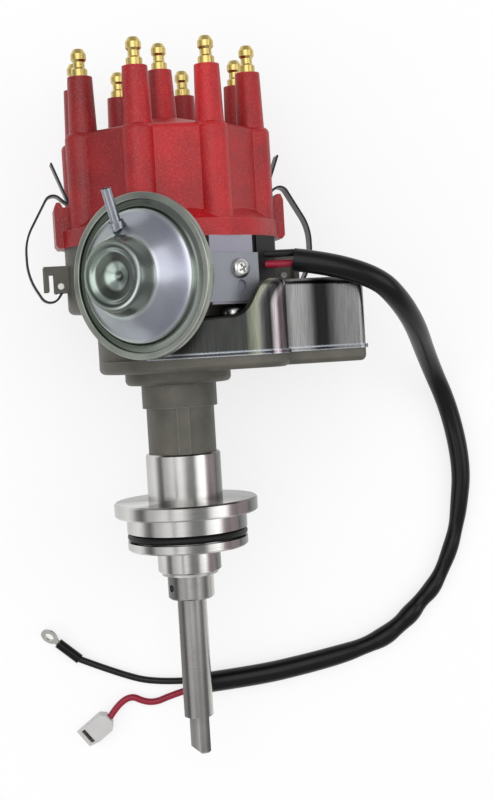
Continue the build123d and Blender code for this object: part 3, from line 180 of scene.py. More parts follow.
def surface(name, color, roughness, metallic=0.0, grain_scale=900, bump=0.15, bump_depth=0.0001,
            cloud=0.12, edge_color=None, edge_width=0.0006, specular=0.5):
    """A Principled finish: its colour clouded a little, a grained bump, and brighter worn edges."""
    paint = bpy.data.materials.new(name)
    paint.use_nodes = True
    tree = paint.node_tree
    shader = tree.nodes["Principled BSDF"]
    shader.inputs["Metallic"].default_value = metallic
    shader.inputs["Specular IOR Level"].default_value = specular
    skin = tree.nodes.new("ShaderNodeGroup")
    skin.node_tree = grain
    skin.inputs["Scale"].default_value = grain_scale
    tint = tree.nodes.new("ShaderNodeMix")
    tint.data_type = "RGBA"
    dark = [c * (1 - cloud) for c in color]
    light = [min(1.0, c * (1 + cloud)) for c in color]
    tint.inputs["A"].default_value = (*dark, 1)
    tint.inputs["B"].default_value = (*light, 1)
    spread = tree.nodes.new("ShaderNodeMapRange")
    spread.inputs["From Min"].default_value = 0.35
    spread.inputs["From Max"].default_value = 0.65
    tree.links.new(skin.outputs["Cloud"], spread.inputs["Value"])
    tree.links.new(spread.outputs["Result"], tint.inputs["Factor"])
    color_out = tint.outputs["Result"]
    if edge_color:
        worn = tree.nodes.new("ShaderNodeGroup")
        worn.node_tree = edge_wear_and_highlight
        worn.inputs["Width"].default_value = edge_width
        rub = tree.nodes.new("ShaderNodeMix")
        rub.data_type = "RGBA"
        rub.inputs["B"].default_value = (*edge_color, 1)
        tree.links.new(worn.outputs["Mask"], rub.inputs["Factor"])
        tree.links.new(color_out, rub.inputs["A"])
        color_out = rub.outputs["Result"]
    tree.links.new(color_out, shader.inputs["Base Color"])
    gloss = tree.nodes.new("ShaderNodeMapRange")
    gloss.inputs["To Min"].default_value = roughness - 0.06
    gloss.inputs["To Max"].default_value = roughness + 0.06
    tree.links.new(skin.outputs["Cloud"], gloss.inputs["Value"])
    tree.links.new(gloss.outputs["Result"], shader.inputs["Roughness"])
    relief = tree.nodes.new("ShaderNodeBump")
    relief.inputs["Strength"].default_value = bump
    relief.inputs["Distance"].default_value = bump_depth
    tree.links.new(skin.outputs["Fine"], relief.inputs["Height"])
    tree.links.new(relief.outputs["Normal"], shader.inputs["Normal"])
    return paint


def layer(paint, mask, color=None, blend="MIX"):
    """Lays a colour, or a varying colour, over a finish where the mask lets it, above what is there."""
    tree = paint.node_tree
    shader = tree.nodes["Principled BSDF"]
    over = tree.nodes.new("ShaderNodeMix")
    over.data_type = "RGBA"
    over.blend_type = blend
    tree.links.new(shader.inputs["Base Color"].links[0].from_socket, over.inputs["A"])
    if isinstance(mask, (int, float)):
        over.inputs["Factor"].default_value = mask
    else:
        tree.links.new(mask, over.inputs["Factor"])
    if isinstance(color, tuple):
        over.inputs["B"].default_value = (*color, 1)
    else:
        tree.links.new(color, over.inputs["B"])
    tree.links.new(over.outputs["Result"], shader.inputs["Base Color"])


def bands(tree, value, stops):
    """A run of colours along a value between 0 and 1, from (place, grey) or (place, color) stops."""
    ramp = tree.nodes.new("ShaderNodeValToRGB")
    for count, (place, color) in enumerate(stops):
        if count < 2:
            stop = ramp.color_ramp.elements[count]
            stop.position = place
        else:
            stop = ramp.color_ramp.elements.new(place)
        stop.color = (*color, 1) if isinstance(color, tuple) else (color, color, color, 1)
    tree.links.new(value, ramp.inputs["Fac"])
    return ramp.outputs["Color"]


def part_of(tree, value, low, high):
    """0 below the low value and 1 above the high one."""
    span = tree.nodes.new("ShaderNodeMapRange")
    span.inputs["From Min"].default_value = low
    span.inputs["From Max"].default_value = high
    tree.links.new(value, span.inputs["Value"])
    return span.outputs["Result"]


def work_out(tree, operation, *values):
    """One step of arithmetic on sockets and plain numbers."""
    step = tree.nodes.new("ShaderNodeMath")
    step.operation = operation
    for place, value in zip(step.inputs, values):
        if isinstance(value, (int, float)):
            place.default_value = value
        else:
            tree.links.new(value, place)
    return step.outputs["Value"]


def paint_node(name, paint):
    node[name].data.materials.clear()
    node[name].data.materials.append(paint)


# the canister's pad is machined: it faces along pad_out, from pad_reach outwards and pad_foot upwards
pad_turn = radians(32)
pad_out = Vector((sin(pad_turn), 0, cos(pad_turn)))
pad_reach = 0.0448
pad_foot = 0.0835
cast_skin = surface("cast_aluminium", (0.105, 0.10, 0.083), 0.50, 0.45, grain_scale=1500, bump=0.6,
                    bump_depth=0.0002, cloud=0.18, edge_color=(0.19, 0.185, 0.165), specular=0.4)
cast_tree = cast_skin.node_tree
cast_coords = cast_tree.nodes.new("ShaderNodeTexCoord")
cast_out = cast_tree.nodes.new("ShaderNodeVectorMath")
cast_out.operation = "DOT_PRODUCT"
cast_out.inputs[1].default_value = pad_out
cast_tree.links.new(cast_coords.outputs["Object"], cast_out.inputs[0])
cast_height = cast_tree.nodes.new("ShaderNodeSeparateXYZ")
cast_tree.links.new(cast_coords.outputs["Object"], cast_height.inputs["Vector"])
cast_pad = work_out(cast_tree, "MULTIPLY",
                    part_of(cast_tree, cast_out.outputs["Value"], pad_reach, pad_reach + 0.0007),
                    part_of(cast_tree, cast_height.outputs["Y"], pad_foot, pad_foot + 0.001))
layer(cast_skin, cast_pad, (0.31, 0.30, 0.355))
paint_node("housing", cast_skin)

# ---------------------------------------------------------------- mounting collar and its ring
# Turned aluminium pressed on the stem, with fine tool rings; its black rubber ring seals the bore.

# turning marks: rings about the shaft that run round its sides and across its faces
turning = bpy.data.node_groups.new("turning", "ShaderNodeTree")
group_socket(turning, "Pitch", "INPUT")
group_socket(turning, "Rings", "OUTPUT")
group_socket(turning, "Turn", "OUTPUT")
turning_in = turning.nodes.new("NodeGroupInput")
turning_out = turning.nodes.new("NodeGroupOutput")
turning_coords = turning.nodes.new("ShaderNodeTexCoord")
turning_split = turning.nodes.new("ShaderNodeSeparateXYZ")
turning_flat = turning.nodes.new("ShaderNodeCombineXYZ")
turning_reach = turning.nodes.new("ShaderNodeVectorMath")
turning_reach.operation = "LENGTH"
turning_noise = turning.nodes.new("ShaderNodeTexNoise")
turning_noise.noise_dimensions = "1D"
turning_noise.inputs["Scale"].default_value = 1
turning_noise.inputs["Detail"].default_value = 2
turning.links.new(turning_coords.outputs["Object"], turning_split.inputs["Vector"])
turning.links.new(turning_split.outputs["X"], turning_flat.inputs["X"])
turning.links.new(turning_split.outputs["Z"], turning_flat.inputs["Z"])
turning.links.new(turning_flat.outputs["Vector"], turning_reach.inputs[0])
turning_along = work_out(turning, "ADD", turning_split.outputs["Y"], turning_reach.outputs["Value"])
turning.links.new(work_out(turning, "DIVIDE", turning_along, turning_in.outputs["Pitch"]),
                  turning_noise.inputs["W"])
turning.links.new(turning_noise.outputs["Fac"], turning_out.inputs["Rings"])
# Turn is 0 to 1 round the shaft and 0.5 at the top
turning_angle = work_out(turning, "ARCTAN2", turning_split.outputs["X"], turning_split.outputs["Z"])
turning.links.new(work_out(turning, "MULTIPLY_ADD", turning_angle, 0.5 / pi, 0.5), turning_out.inputs["Turn"])


def round_shaft(painted_light_streaks):
    """The stops along Turn for (degrees from the top, grey or color) streaks of painted light and shade."""
    return [(0.5 + turn / 360, shade) for turn, shade in painted_light_streaks]


def turned_metal(name, color, roughness, pitch=0.0005, bump=0.25, edge_color=None, painted_light_streaks=None):
    """Bright turned metal: rings in the bump over a faint cloudiness, and lighter and darker streaks
    that run along the shaft, painted reflections where they are given."""
    paint = surface(name, color, roughness, 1.0, grain_scale=600, bump=0.04, bump_depth=0.0001,
                    cloud=0.07, edge_color=edge_color, edge_width=0.0004)
    tree = paint.node_tree
    shader = tree.nodes["Principled BSDF"]
    rings = tree.nodes.new("ShaderNodeGroup")
    rings.node_tree = turning
    rings.inputs["Pitch"].default_value = pitch
    cut = tree.nodes.new("ShaderNodeBump")
    cut.inputs["Strength"].default_value = bump
    cut.inputs["Distance"].default_value = 0.00006
    tree.links.new(rings.outputs["Rings"], cut.inputs["Height"])
    tree.links.new(shader.inputs["Normal"].links[0].from_socket, cut.inputs["Normal"])
    tree.links.new(cut.outputs["Normal"], shader.inputs["Normal"])
    # painted reflections: lighter and darker streaks multiplied into the colour round the shaft
    if painted_light_streaks:
        layer(paint, 1.0, bands(tree, rings.outputs["Turn"], round_shaft(painted_light_streaks)), "MULTIPLY")
    return paint


# painted reflections: lighter and darker streaks round the collar, as (degrees from the top, grey or color)
collar_painted_reflections = ((-180, 0.3), (-95, 0.20), (-80, 0.45), (-52, 0.72), (-44, 0.55), (-38, 0.24),
                  (-27, 0.26), (-15, 0.40), (-4, 0.42), (5, 0.25), (14, 0.29), (22, 0.52), (29, 0.70),
                  (37, (0.52, 0.46, 0.48)), (48, (0.26, 0.21, 0.22)), (58, 0.17), (80, 0.14),
                  (120, 0.2), (180, 0.3))
collar_metal = turned_metal("machined_aluminium", (0.90, 0.89, 0.86), 0.22,
                            edge_color=(0.98, 0.98, 0.96), painted_light_streaks=collar_painted_reflections)
paint_node("mounting_collar", collar_metal)
ring_rubber = surface("black_rubber", (0.008, 0.008, 0.008), 0.42, grain_scale=1800, bump=0.2, specular=0.2)
paint_node("o_ring", ring_rubber)

# ---------------------------------------------------------------- shaft, its collar, pin and washer
# Ground steel with a flat tang milled on its end; the collar under the boss is held by a roll pin.
# painted reflections: lighter and darker streaks round the shaft and its collar
shaft_painted_reflections = ((-180, 0.35), (-90, 0.15), (-60, 0.25), (-38, 0.25), (-15, 0.33), (0, 0.58), (10, 0.5),
                 (18, 0.58), (30, 0.3), (38, 0.30), (50, 0.62), (70, 0.95), (95, 0.5), (180, 0.35))
shaft_steel = turned_metal("ground_steel", (0.62, 0.60, 0.58), 0.27, pitch=0.0008, bump=0.2,
                           edge_color=(0.85, 0.84, 0.82), painted_light_streaks=shaft_painted_reflections)
plain_steel = surface("pressed_steel", (0.42, 0.42, 0.41), 0.34, 1.0, grain_scale=1100, bump=0.12)
paint_node("drive_shaft", shaft_steel)
paint_node("shaft_collar", shaft_steel)
paint_node("roll_pin", plain_steel)
paint_node("thrust_washer", plain_steel)

# ---------------------------------------------------------------- bushes and works inside the bowl
# Oil-soaked bronze bushes, pressed steel plates, weights and springs, and a moulded rotor and coil.
bronze = turned_metal("sintered_bronze", (0.42, 0.28, 0.13), 0.45, pitch=0.0009)
moulded_black = surface("moulded_black", (0.03, 0.03, 0.032), 0.4, grain_scale=1300, bump=0.2,
                        edge_color=(0.07, 0.07, 0.07))
ferrite = surface("ferrite", (0.09, 0.09, 0.09), 0.6, 0.3, grain_scale=1500, bump=0.4)
spring_wire = surface("spring_wire", (0.50, 0.49, 0.47), 0.3, 1.0, grain_scale=1500, bump=0.1)
screw_zinc = surface("zinc_screw", (0.55, 0.55, 0.54), 0.28, 1.0, grain_scale=900, bump=0.12,
                     edge_color=(0.85, 0.85, 0.83), edge_width=0.0003)
for name in ("lower_bushing", "upper_bushing"):
    paint_node(name, bronze)
for name in ("weight_plate", "advance_weight_a", "advance_weight_b", "advance_cam", "reluctor",
             "base_plate", "pickup_plate", "vacuum_link", "diaphragm_cup"):
    paint_node(name, plain_steel)
for name in ("rotor", "pickup_coil", "ignition_module", "carbon_brush"):
    paint_node(name, moulded_black)
for name in ("weight_pins", "advance_springs", "brush_spring", "clip_pins"):
    paint_node(name, spring_wire)
for name in ("base_plate_screws", "module_screws"):
    paint_node(name, screw_zinc)
paint_node("pickup_magnet", ferrite)

# a copy of the diaphragm's spring, with its doubled points merged, stands in for the model's one
canister_turn = radians(-35)
canister_forward = Vector((sin(canister_turn), 0, cos(canister_turn)))
canister_side = Vector((cos(canister_turn), 0, -sin(canister_turn)))
canister_centre = Vector((-0.0118, 0.0998, 0.065))
bpy.ops.object.select_all(action="DESELECT")
node["diaphragm_spring"].select_set(True)
bpy.context.view_layer.objects.active = node["diaphragm_spring"]
bpy.ops.object.duplicate()
bias_spring = bpy.context.object
bias_spring.name = "bias_spring"
bpy.ops.object.mode_set(mode="EDIT")
bpy.ops.mesh.select_all(action="SELECT")
bpy.ops.mesh.remove_doubles(threshold=1e-6)
bpy.ops.object.mode_set(mode="OBJECT")
bias_spring.data.materials.clear()
bias_spring.data.materials.append(spring_wire)
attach(bias_spring, "body")
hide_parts("diaphragm_spring")
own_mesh(bias_spring)
paint_node("diaphragm", ring_rubber)

# ---------------------------------------------------------------- distributor cap
# Red glass-filled moulding with a slightly frosted skin, paler where its ribs and rims are rubbed.
cap_red = surface("cap_red", (0.50, 0.006, 0.010), 0.38, grain_scale=1500, bump=0.9, bump_depth=0.00025,
                  cloud=0.16, edge_color=(0.72, 0.07, 0.07), edge_width=0.0006, specular=0.45)
cap_tree = cap_red.node_tree
# painted shade and light: the cap darker towards -X and brightest where it faces up, multiplied in round the
# shaft
cap_painted_light = ((-180, 0.7), (-62, 0.60), (-40, 0.52), (-24, 0.60), (-14, 0.80), (0, 0.95), (26, 1.0),
               (36, 0.85), (60, 0.78), (180, 0.7))
cap_turn = cap_tree.nodes.new("ShaderNodeGroup")
cap_turn.node_tree = turning
cap_turn.inputs["Pitch"].default_value = 0.001
layer(cap_red, 1.0, bands(cap_tree, cap_turn.outputs["Turn"], round_shaft(cap_painted_light)), "MULTIPLY")
# glass fibre and wax leave a fine pale and dark speckle over the red
cap_speck = cap_tree.nodes.new("ShaderNodeGroup")
cap_speck.node_tree = grain
cap_speck.inputs["Scale"].default_value = 1900
layer(cap_red, 1.0, bands(cap_tree, cap_speck.outputs["Fine"], ((0.36, 0.78), (0.64, 1.0))), "MULTIPLY")
layer(cap_red, part_of(cap_tree, cap_speck.outputs["Fine"], 0.56, 1.35), (0.80, 0.22, 0.22))
paint_node("distributor_cap", cap_red)

# ---------------------------------------------------------------- terminals
# Turned brass heads moulded into the towers, each with a waist and a bevelled tip.
brass = surface("terminal_brass", (0.62, 0.48, 0.17), 0.28, 1.0, grain_scale=900, bump=0.08,
                cloud=0.10, edge_color=(0.95, 0.82, 0.50), edge_width=0.0003)
for name in ("spark_terminals", "coil_terminal", "rotor_blade"):
    paint_node(name, brass)

# ---------------------------------------------------------------- module cover
# A deep-drawn steel cover, chromed and lightly brushed along the shaft, held by two screws.
chrome = surface("chrome_cover", (0.80, 0.80, 0.79), 0.27, 1.0, grain_scale=500, bump=0.05, cloud=0.05)
chrome_tree = chrome.node_tree
chrome_place = chrome_tree.nodes.new("ShaderNodeTexCoord")
chrome_split = chrome_tree.nodes.new("ShaderNodeSeparateXYZ")
chrome_tree.links.new(chrome_place.outputs["Object"], chrome_split.inputs["Vector"])
# inside straight_from the painted reflection bands lean over towards the block's top, by a square law above
# lean_from
lean_from = 0.086
lean_rate = 58.0
straight_from = 0.0464
chrome_rise = work_out(chrome_tree, "SUBTRACT", chrome_split.outputs["Y"], lean_from)
chrome_square = work_out(chrome_tree, "POWER", work_out(chrome_tree, "MAXIMUM", chrome_rise, 0.0), 2.0)
chrome_lean = work_out(chrome_tree, "MULTIPLY_ADD", chrome_square, -lean_rate, chrome_split.outputs["X"])
chrome_pick = chrome_tree.nodes.new("ShaderNodeMix")
chrome_tree.links.new(work_out(chrome_tree, "GREATER_THAN", chrome_split.outputs["X"], straight_from),
                      chrome_pick.inputs["Factor"])
chrome_tree.links.new(chrome_lean, chrome_pick.inputs["A"])
chrome_tree.links.new(chrome_split.outputs["X"], chrome_pick.inputs["B"])
# painted reflections: the dark and light bands as (millimetres from the shaft, grey or color), from the
# terrace out to the block
band_from, band_to = 0.020, 0.080
painted_reflection_stops = ((28.0, (0.05, 0.052, 0.05)), (29.7, (0.14, 0.15, 0.115)), (33.0, (0.27, 0.28, 0.22)),
              (34.4, 0.11), (36.0, 0.04), (38.0, 0.04), (39.2, (0.33, 0.30, 0.32)),
              (40.4, (0.50, 0.45, 0.47)), (41.6, (0.30, 0.24, 0.26)), (44.0, (0.11, 0.08, 0.09)),
              (46.3, 0.07), (47.2, 0.17), (49.4, 0.30), (54.4, 0.26), (56.9, 0.14), (58.1, 0.05),
              (59.4, 0.02), (63.2, 0.02), (65.7, 0.09), (68.6, 0.21), (75.7, 0.29))
painted_reflection_colors = [((place / 1000 - band_from) / (band_to - band_from), grey) for place, grey in painted_reflection_stops]
layer(chrome, 1.0, bands(chrome_tree, part_of(chrome_tree, chrome_pick.outputs["Result"], band_from, band_to),
                         painted_reflection_colors), "MULTIPLY")
# brush lines: long and narrow along the shaft
brush_scale = chrome_tree.nodes.new("ShaderNodeMapping")
brush_scale.inputs["Scale"].default_value = (1700, 90, 1700)
brush_lines = chrome_tree.nodes.new("ShaderNodeTexNoise")
brush_lines.inputs["Scale"].default_value = 1
brush_lines.inputs["Detail"].default_value = 2
chrome_tree.links.new(chrome_place.outputs["Object"], brush_scale.inputs["Vector"])
chrome_tree.links.new(brush_scale.outputs["Vector"], brush_lines.inputs["Vector"])
layer(chrome, 1.0, bands(chrome_tree, brush_lines.outputs["Fac"], ((0.3, 0.72), (0.7, 1.0))), "MULTIPLY")
# a painted highlight: a pale blue line along the cover's edges
chrome_edge_highlight = chrome_tree.nodes.new("ShaderNodeGroup")
chrome_edge_highlight.node_tree = edge_wear_and_highlight
chrome_edge_highlight.inputs["Width"].default_value = 0.0009
layer(chrome, chrome_edge_highlight.outputs["Mask"], (0.42, 0.45, 0.50))
paint_node("module_cover", chrome)


def carve(piece, cutter):
    """Cuts the cutter's shape out of the piece, and takes the cutter away."""
    bpy.ops.object.select_all(action="DESELECT")
    bpy.context.view_layer.objects.active = piece
    piece.select_set(True)
    cut = piece.modifiers.new("cut", "BOOLEAN")
    cut.operation = "DIFFERENCE"
    cut.solver = "EXACT"
    cut.object = cutter
    bpy.ops.object.modifier_apply(modifier="cut")
    bpy.data.objects.remove(cutter, do_unlink=True)


def soften_edges(piece, width, segments, least_turn):
    """Rounds the edges that turn by more than the least turn, in degrees."""
    soften = piece.modifiers.new("soften", "BEVEL")
    soften.width = width
    soften.segments = segments
    soften.limit_method = "ANGLE"
    soften.angle_limit = radians(least_turn)
    bpy.ops.object.modifier_apply(modifier="soften")


def pan_screw(name, base, way, head_r, head_height, shank_r, shank_length):
    """A pan-head screw with a cross recess, built upright and then set down at its base."""
    bpy.ops.object.select_all(action="DESELECT")
    bpy.ops.mesh.primitive_circle_add(vertices=48, radius=head_r, fill_type="NGON")
    screw = bpy.context.object
    screw.name = name
    bpy.ops.object.mode_set(mode="EDIT")
    bpy.ops.mesh.select_all(action="SELECT")
    low = 0.0
    width = 1.0
    for high_share, width_share in ((0.42, 1.0), (0.66, 0.95), (0.86, 0.80), (0.97, 0.55), (1.0, 0.32)):
        rise = head_height * high_share - low
        bpy.ops.mesh.extrude_region_move(TRANSFORM_OT_translate={"value": (0, 0, rise)})
        low += rise
        grow = width_share / width
        bpy.ops.transform.resize(value=(grow, grow, 1), center_override=(0, 0, low))
        width = width_share
    bpy.ops.mesh.select_all(action="DESELECT")
    bpy.ops.object.mode_set(mode="OBJECT")
    for face in screw.data.polygons:
        face.select = abs(face.center.z) < 1e-6 and len(face.vertices) == 48
    bpy.ops.object.mode_set(mode="EDIT")
    bpy.ops.mesh.inset(thickness=head_r - shank_r)
    bpy.ops.mesh.extrude_region_move(TRANSFORM_OT_translate={"value": (0, 0, -shank_length)})
    bpy.ops.object.mode_set(mode="OBJECT")
    recess_depth = head_height * 0.62
    wing = head_r * 1.16
    for turn in (28, 118):
        bpy.ops.object.select_all(action="DESELECT")
        bpy.ops.mesh.primitive_cube_add(size=1, location=(0, 0, head_height - recess_depth / 2 + 0.0003))
        cutter = bpy.context.object
        cutter.scale = (wing, head_r * 0.30, recess_depth + 0.0006)
        cutter.rotation_euler = (0, 0, radians(turn))
        bpy.ops.object.transform_apply(location=True, rotation=True, scale=True)
        bpy.ops.object.mode_set(mode="EDIT")
        bpy.ops.mesh.select_all(action="DESELECT")
        bpy.ops.object.mode_set(mode="OBJECT")
        for face in cutter.data.polygons:
            face.select = face.normal.z < -0.9
        bpy.ops.object.mode_set(mode="EDIT")
        bpy.ops.transform.resize(value=(0.45, 0.45, 1), center_override=(0, 0, 0))
        bpy.ops.object.mode_set(mode="OBJECT")
        carve(screw, cutter)
    soften_edges(screw, 0.00012, 2, 35)
    stand = Vector(way).to_track_quat("Z", "Y").to_matrix().to_4x4()
    screw.matrix_world = Matrix.Translation(Vector(base)) @ stand
    bpy.ops.object.transform_apply(location=True, rotation=True, scale=True)
    bpy.ops.object.mode_set(mode="EDIT")
    bpy.ops.mesh.select_all(action="SELECT")
    bpy.ops.mesh.remove_doubles(threshold=1e-6)
    bpy.ops.mesh.normals_make_consistent(inside=False)
    bpy.ops.object.mode_set(mode="OBJECT")
    bpy.ops.object.shade_smooth_by_angle(angle=radians(35))
    screw.data.materials.append(screw_zinc)
    return screw


screw_head_r, screw_shank_r = 0.0040, 0.0020
cover_head_height, cover_shank_length = 0.0032, 0.008
cover_screw_x, cover_screw_z, cover_screw_base = 0.0235, 0.036, 0.0836
right_screw = pan_screw("cover_pan_screws", (cover_screw_x, cover_screw_base, cover_screw_z), (0, 1, 0),
                        screw_head_r, cover_head_height, screw_shank_r, cover_shank_length)
left_screw = pan_screw("cover_pan_screw_far", (cover_screw_x, cover_screw_base, -cover_screw_z), (0, 1, 0),
                       screw_head_r, cover_head_height, screw_shank_r, cover_shank_length)
bpy.ops.object.select_all(action="DESELECT")
left_screw.select_set(True)
right_screw.select_set(True)
bpy.context.view_layer.objects.active = right_screw
bpy.ops.object.join()
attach(right_screw, "body")
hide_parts("cover_screws")

# ---------------------------------------------------------------- vacuum canister
# Two pressed shells crimped together at the rim, zinc plated, with a welded hose nipple.
rim_zinc = surface("rim_zinc", (0.29, 0.31, 0.275), 0.34, 1.0, grain_scale=700, bump=0.10, cloud=0.14,
                   edge_color=(0.50, 0.52, 0.48), edge_width=0.0005)
nipple_zinc = surface("nipple_zinc", (0.27, 0.28, 0.31), 0.30, 1.0, grain_scale=700, bump=0.10, cloud=0.12,
                      edge_color=(0.60, 0.60, 0.64), edge_width=0.0003)
bracket_zinc = surface("bracket_zinc", (0.26, 0.27, 0.30), 0.50, 0.5, grain_scale=900, bump=0.12, cloud=0.08,
                       edge_color=(0.42, 0.42, 0.47), edge_width=0.0003)
paint_node("canister_rear_shell", rim_zinc)
paint_node("vacuum_nipple", nipple_zinc)
paint_node("canister_bracket", bracket_zinc)

shell_wall = 0.0009
# the pressed face from its rim to its middle, as (reach, rise) in millimetres
face_outline = ((31.0, 0.45), (27.4, 0.45), (26.4, 0.9), (25.9, 2.2), (25.2, 3.0), (24.6, 3.15),
                (20.4, 7.6), (15.8, 11.2), (15.3, 11.7), (14.9, 12.6), (13.7, 17.2), (13.2, 18.1),
                (11.9, 18.5), (10.6, 18.2), (9.6, 17.2), (9.3, 17.0), (8.7, 16.6), (6.4, 15.9),
                (5.7, 15.5), (3.4, 14.4), (1.4, 13.4), (0.7, 12.6))
bpy.ops.object.select_all(action="DESELECT")
bpy.ops.mesh.primitive_circle_add(vertices=48, radius=face_outline[0][0] / 1000, fill_type="NOTHING",
                                  location=(0, 0, face_outline[0][1] / 1000))
canister_face = bpy.context.object
canister_face.name = "canister_face"
bpy.ops.object.transform_apply(location=True, rotation=True, scale=True)
bpy.ops.object.mode_set(mode="EDIT")
bpy.ops.mesh.select_all(action="SELECT")
for (wide, low), (narrow, high) in zip(face_outline, face_outline[1:]):
    bpy.ops.mesh.extrude_region_move(TRANSFORM_OT_translate={"value": (0, 0, (high - low) / 1000)})
    bpy.ops.transform.resize(value=(narrow / wide, narrow / wide, 1),
                             center_override=(0, 0, high / 1000))
bpy.ops.mesh.edge_face_add()
bpy.ops.mesh.poke()
bpy.ops.mesh.select_all(action="SELECT")
bpy.ops.mesh.normals_make_consistent(inside=False)
bpy.ops.object.mode_set(mode="OBJECT")
if sum(face.normal.z for face in canister_face.data.polygons) < 0:
    bpy.ops.object.mode_set(mode="EDIT")
    bpy.ops.mesh.flip_normals()
    bpy.ops.object.mode_set(mode="OBJECT")
sheet = canister_face.modifiers.new("sheet", "SOLIDIFY")
sheet.thickness = shell_wall
sheet.offset = -1
bpy.ops.object.modifier_apply(modifier="sheet")
smooth = canister_face.modifiers.new("smooth", "SUBSURF")
smooth.levels = 2
smooth.render_levels = 2
bpy.ops.object.modifier_apply(modifier="smooth")
canister_face.matrix_world = Matrix.Translation(canister_centre) @ Matrix(
    ((canister_side.x, 0, canister_forward.x), (canister_side.y, 1, canister_forward.y),
     (canister_side.z, 0, canister_forward.z))).to_4x4()
bpy.ops.object.transform_apply(location=True, rotation=True, scale=True)
bpy.ops.object.shade_smooth()

face_zinc = surface("face_zinc", (0.83, 0.83, 0.83), 0.27, 1.0, grain_scale=700, bump=0.08, cloud=0.08)
face_tree = face_zinc.node_tree
face_place = face_tree.nodes.new("ShaderNodeTexCoord")
face_from = face_tree.nodes.new("ShaderNodeVectorMath")
face_from.operation = "SUBTRACT"
face_from.inputs[1].default_value = canister_centre
face_across = face_tree.nodes.new("ShaderNodeVectorMath")
face_across.operation = "CROSS_PRODUCT"
face_across.inputs[1].default_value = canister_forward
face_reach = face_tree.nodes.new("ShaderNodeVectorMath")
face_reach.operation = "LENGTH"
face_tree.links.new(face_place.outputs["Object"], face_from.inputs[0])
face_tree.links.new(face_from.outputs["Vector"], face_across.inputs[0])
face_tree.links.new(face_across.outputs["Vector"], face_reach.inputs[0])
# painted reflections: light and dark rings across the pressed face, as (millimetres from the canister's axis,
# color), over the zinc's tint
face_painted_rings = ((0.0, (0.22, 0.24, 0.23)), (1.6, (0.24, 0.26, 0.25)), (2.4, (0.56, 0.62, 0.58)),
              (4.8, (0.50, 0.56, 0.52)), (5.9, (0.09, 0.10, 0.09)), (8.6, (0.12, 0.13, 0.12)),
              (9.3, (0.55, 0.61, 0.57)), (10.2, (0.46, 0.51, 0.47)), (10.8, (0.10, 0.11, 0.10)),
              (11.4, (0.15, 0.16, 0.15)), (12.2, (0.60, 0.66, 0.61)), (13.1, (0.17, 0.19, 0.17)),
              (15.0, (0.20, 0.23, 0.20)), (15.7, (0.62, 0.65, 0.65)), (16.8, (0.44, 0.455, 0.49)),
              (23.8, (0.45, 0.46, 0.52)), (25.0, (0.62, 0.65, 0.65)), (25.8, (0.22, 0.25, 0.21)),
              (27.5, (0.20, 0.22, 0.19)), (31.0, (0.28, 0.31, 0.27)))
face_span = 32.0
layer(face_zinc, 1.0, bands(face_tree, part_of(face_tree, face_reach.outputs["Value"], 0, face_span / 1000),
                            [(reach / face_span, color) for reach, color in face_painted_rings]), "MULTIPLY")
# painted shade and light: the face darker and greener towards one side of the canister and lighter towards
# the other, over a green tint of the zinc
face_side = face_tree.nodes.new("ShaderNodeVectorMath")
face_side.operation = "DOT_PRODUCT"
face_side.inputs[1].default_value = canister_side
face_tree.links.new(face_from.outputs["Vector"], face_side.inputs[0])
layer(face_zinc, 1.0, bands(face_tree, part_of(face_tree, face_side.outputs["Value"], -0.030, 0.030),
                            ((0.0, (0.62, 0.68, 0.62)), (0.42, (0.80, 0.86, 0.82)), (0.62, (0.96, 0.96, 1.0)),
                             (1.0, (0.86, 0.86, 0.92)))), "MULTIPLY")
canister_face.data.materials.append(face_zinc)
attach(canister_face, "body")
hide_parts("canister_front_shell")

# the bracket's screw stands on the pad, with a lower head than the cover's
bracket_head_height, bracket_shank_length = 0.0026, 0.007
pad_across = Vector((cos(pad_turn), 0, -sin(pad_turn)))
bracket_screw_place = pad_out * 0.0475 + pad_across * 0.0024 + Vector((0, 0.102, 0))
bracket_pan_screw = pan_screw("bracket_pan_screw", bracket_screw_place, pad_out,
                              screw_head_r, bracket_head_height, screw_shank_r, bracket_shank_length)
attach(bracket_pan_screw, "body")
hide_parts("bracket_screw")

# ---------------------------------------------------------------- spring clips
# Blued spring steel strips, curled round their pins and hooked over the cap's ears.
black_steel = surface("black_steel", (0.010, 0.010, 0.011), 0.36, 0.3, grain_scale=1200, bump=0.15,
                      edge_color=(0.10, 0.10, 0.10), edge_width=0.0003, specular=0.3)
for name in ("clip_left", "clip_right"):
    paint_node(name, black_steel)

# ---------------------------------------------------------------- grommet and lead
# A black rubber grommet in the bowl's slot; a red and a black wire run through it into a vinyl sleeve.
paint_node("grommet", ring_rubber)
sleeve_vinyl = surface("sleeve_vinyl", (0.004, 0.004, 0.005), 0.28, grain_scale=900, bump=0.12, specular=0.22)
red_vinyl = surface("red_vinyl", (0.30, 0.008, 0.03), 0.33, grain_scale=900, bump=0.1, specular=0.4)
black_vinyl = surface("black_vinyl", (0.008, 0.008, 0.008), 0.30, grain_scale=900, bump=0.1, specular=0.3)
paint_node("red_lead", red_vinyl)
paint_node("black_lead", black_vinyl)

sleeve_r = 0.0048
wire_r = 0.00155
shrink_r = 0.0023
on_bench = bench_z + 0.0001
sleeve_z = on_bench + sleeve_r
wire_z = on_bench + wire_r
sleeve_start = (0.0505, 0.105, 0.025)


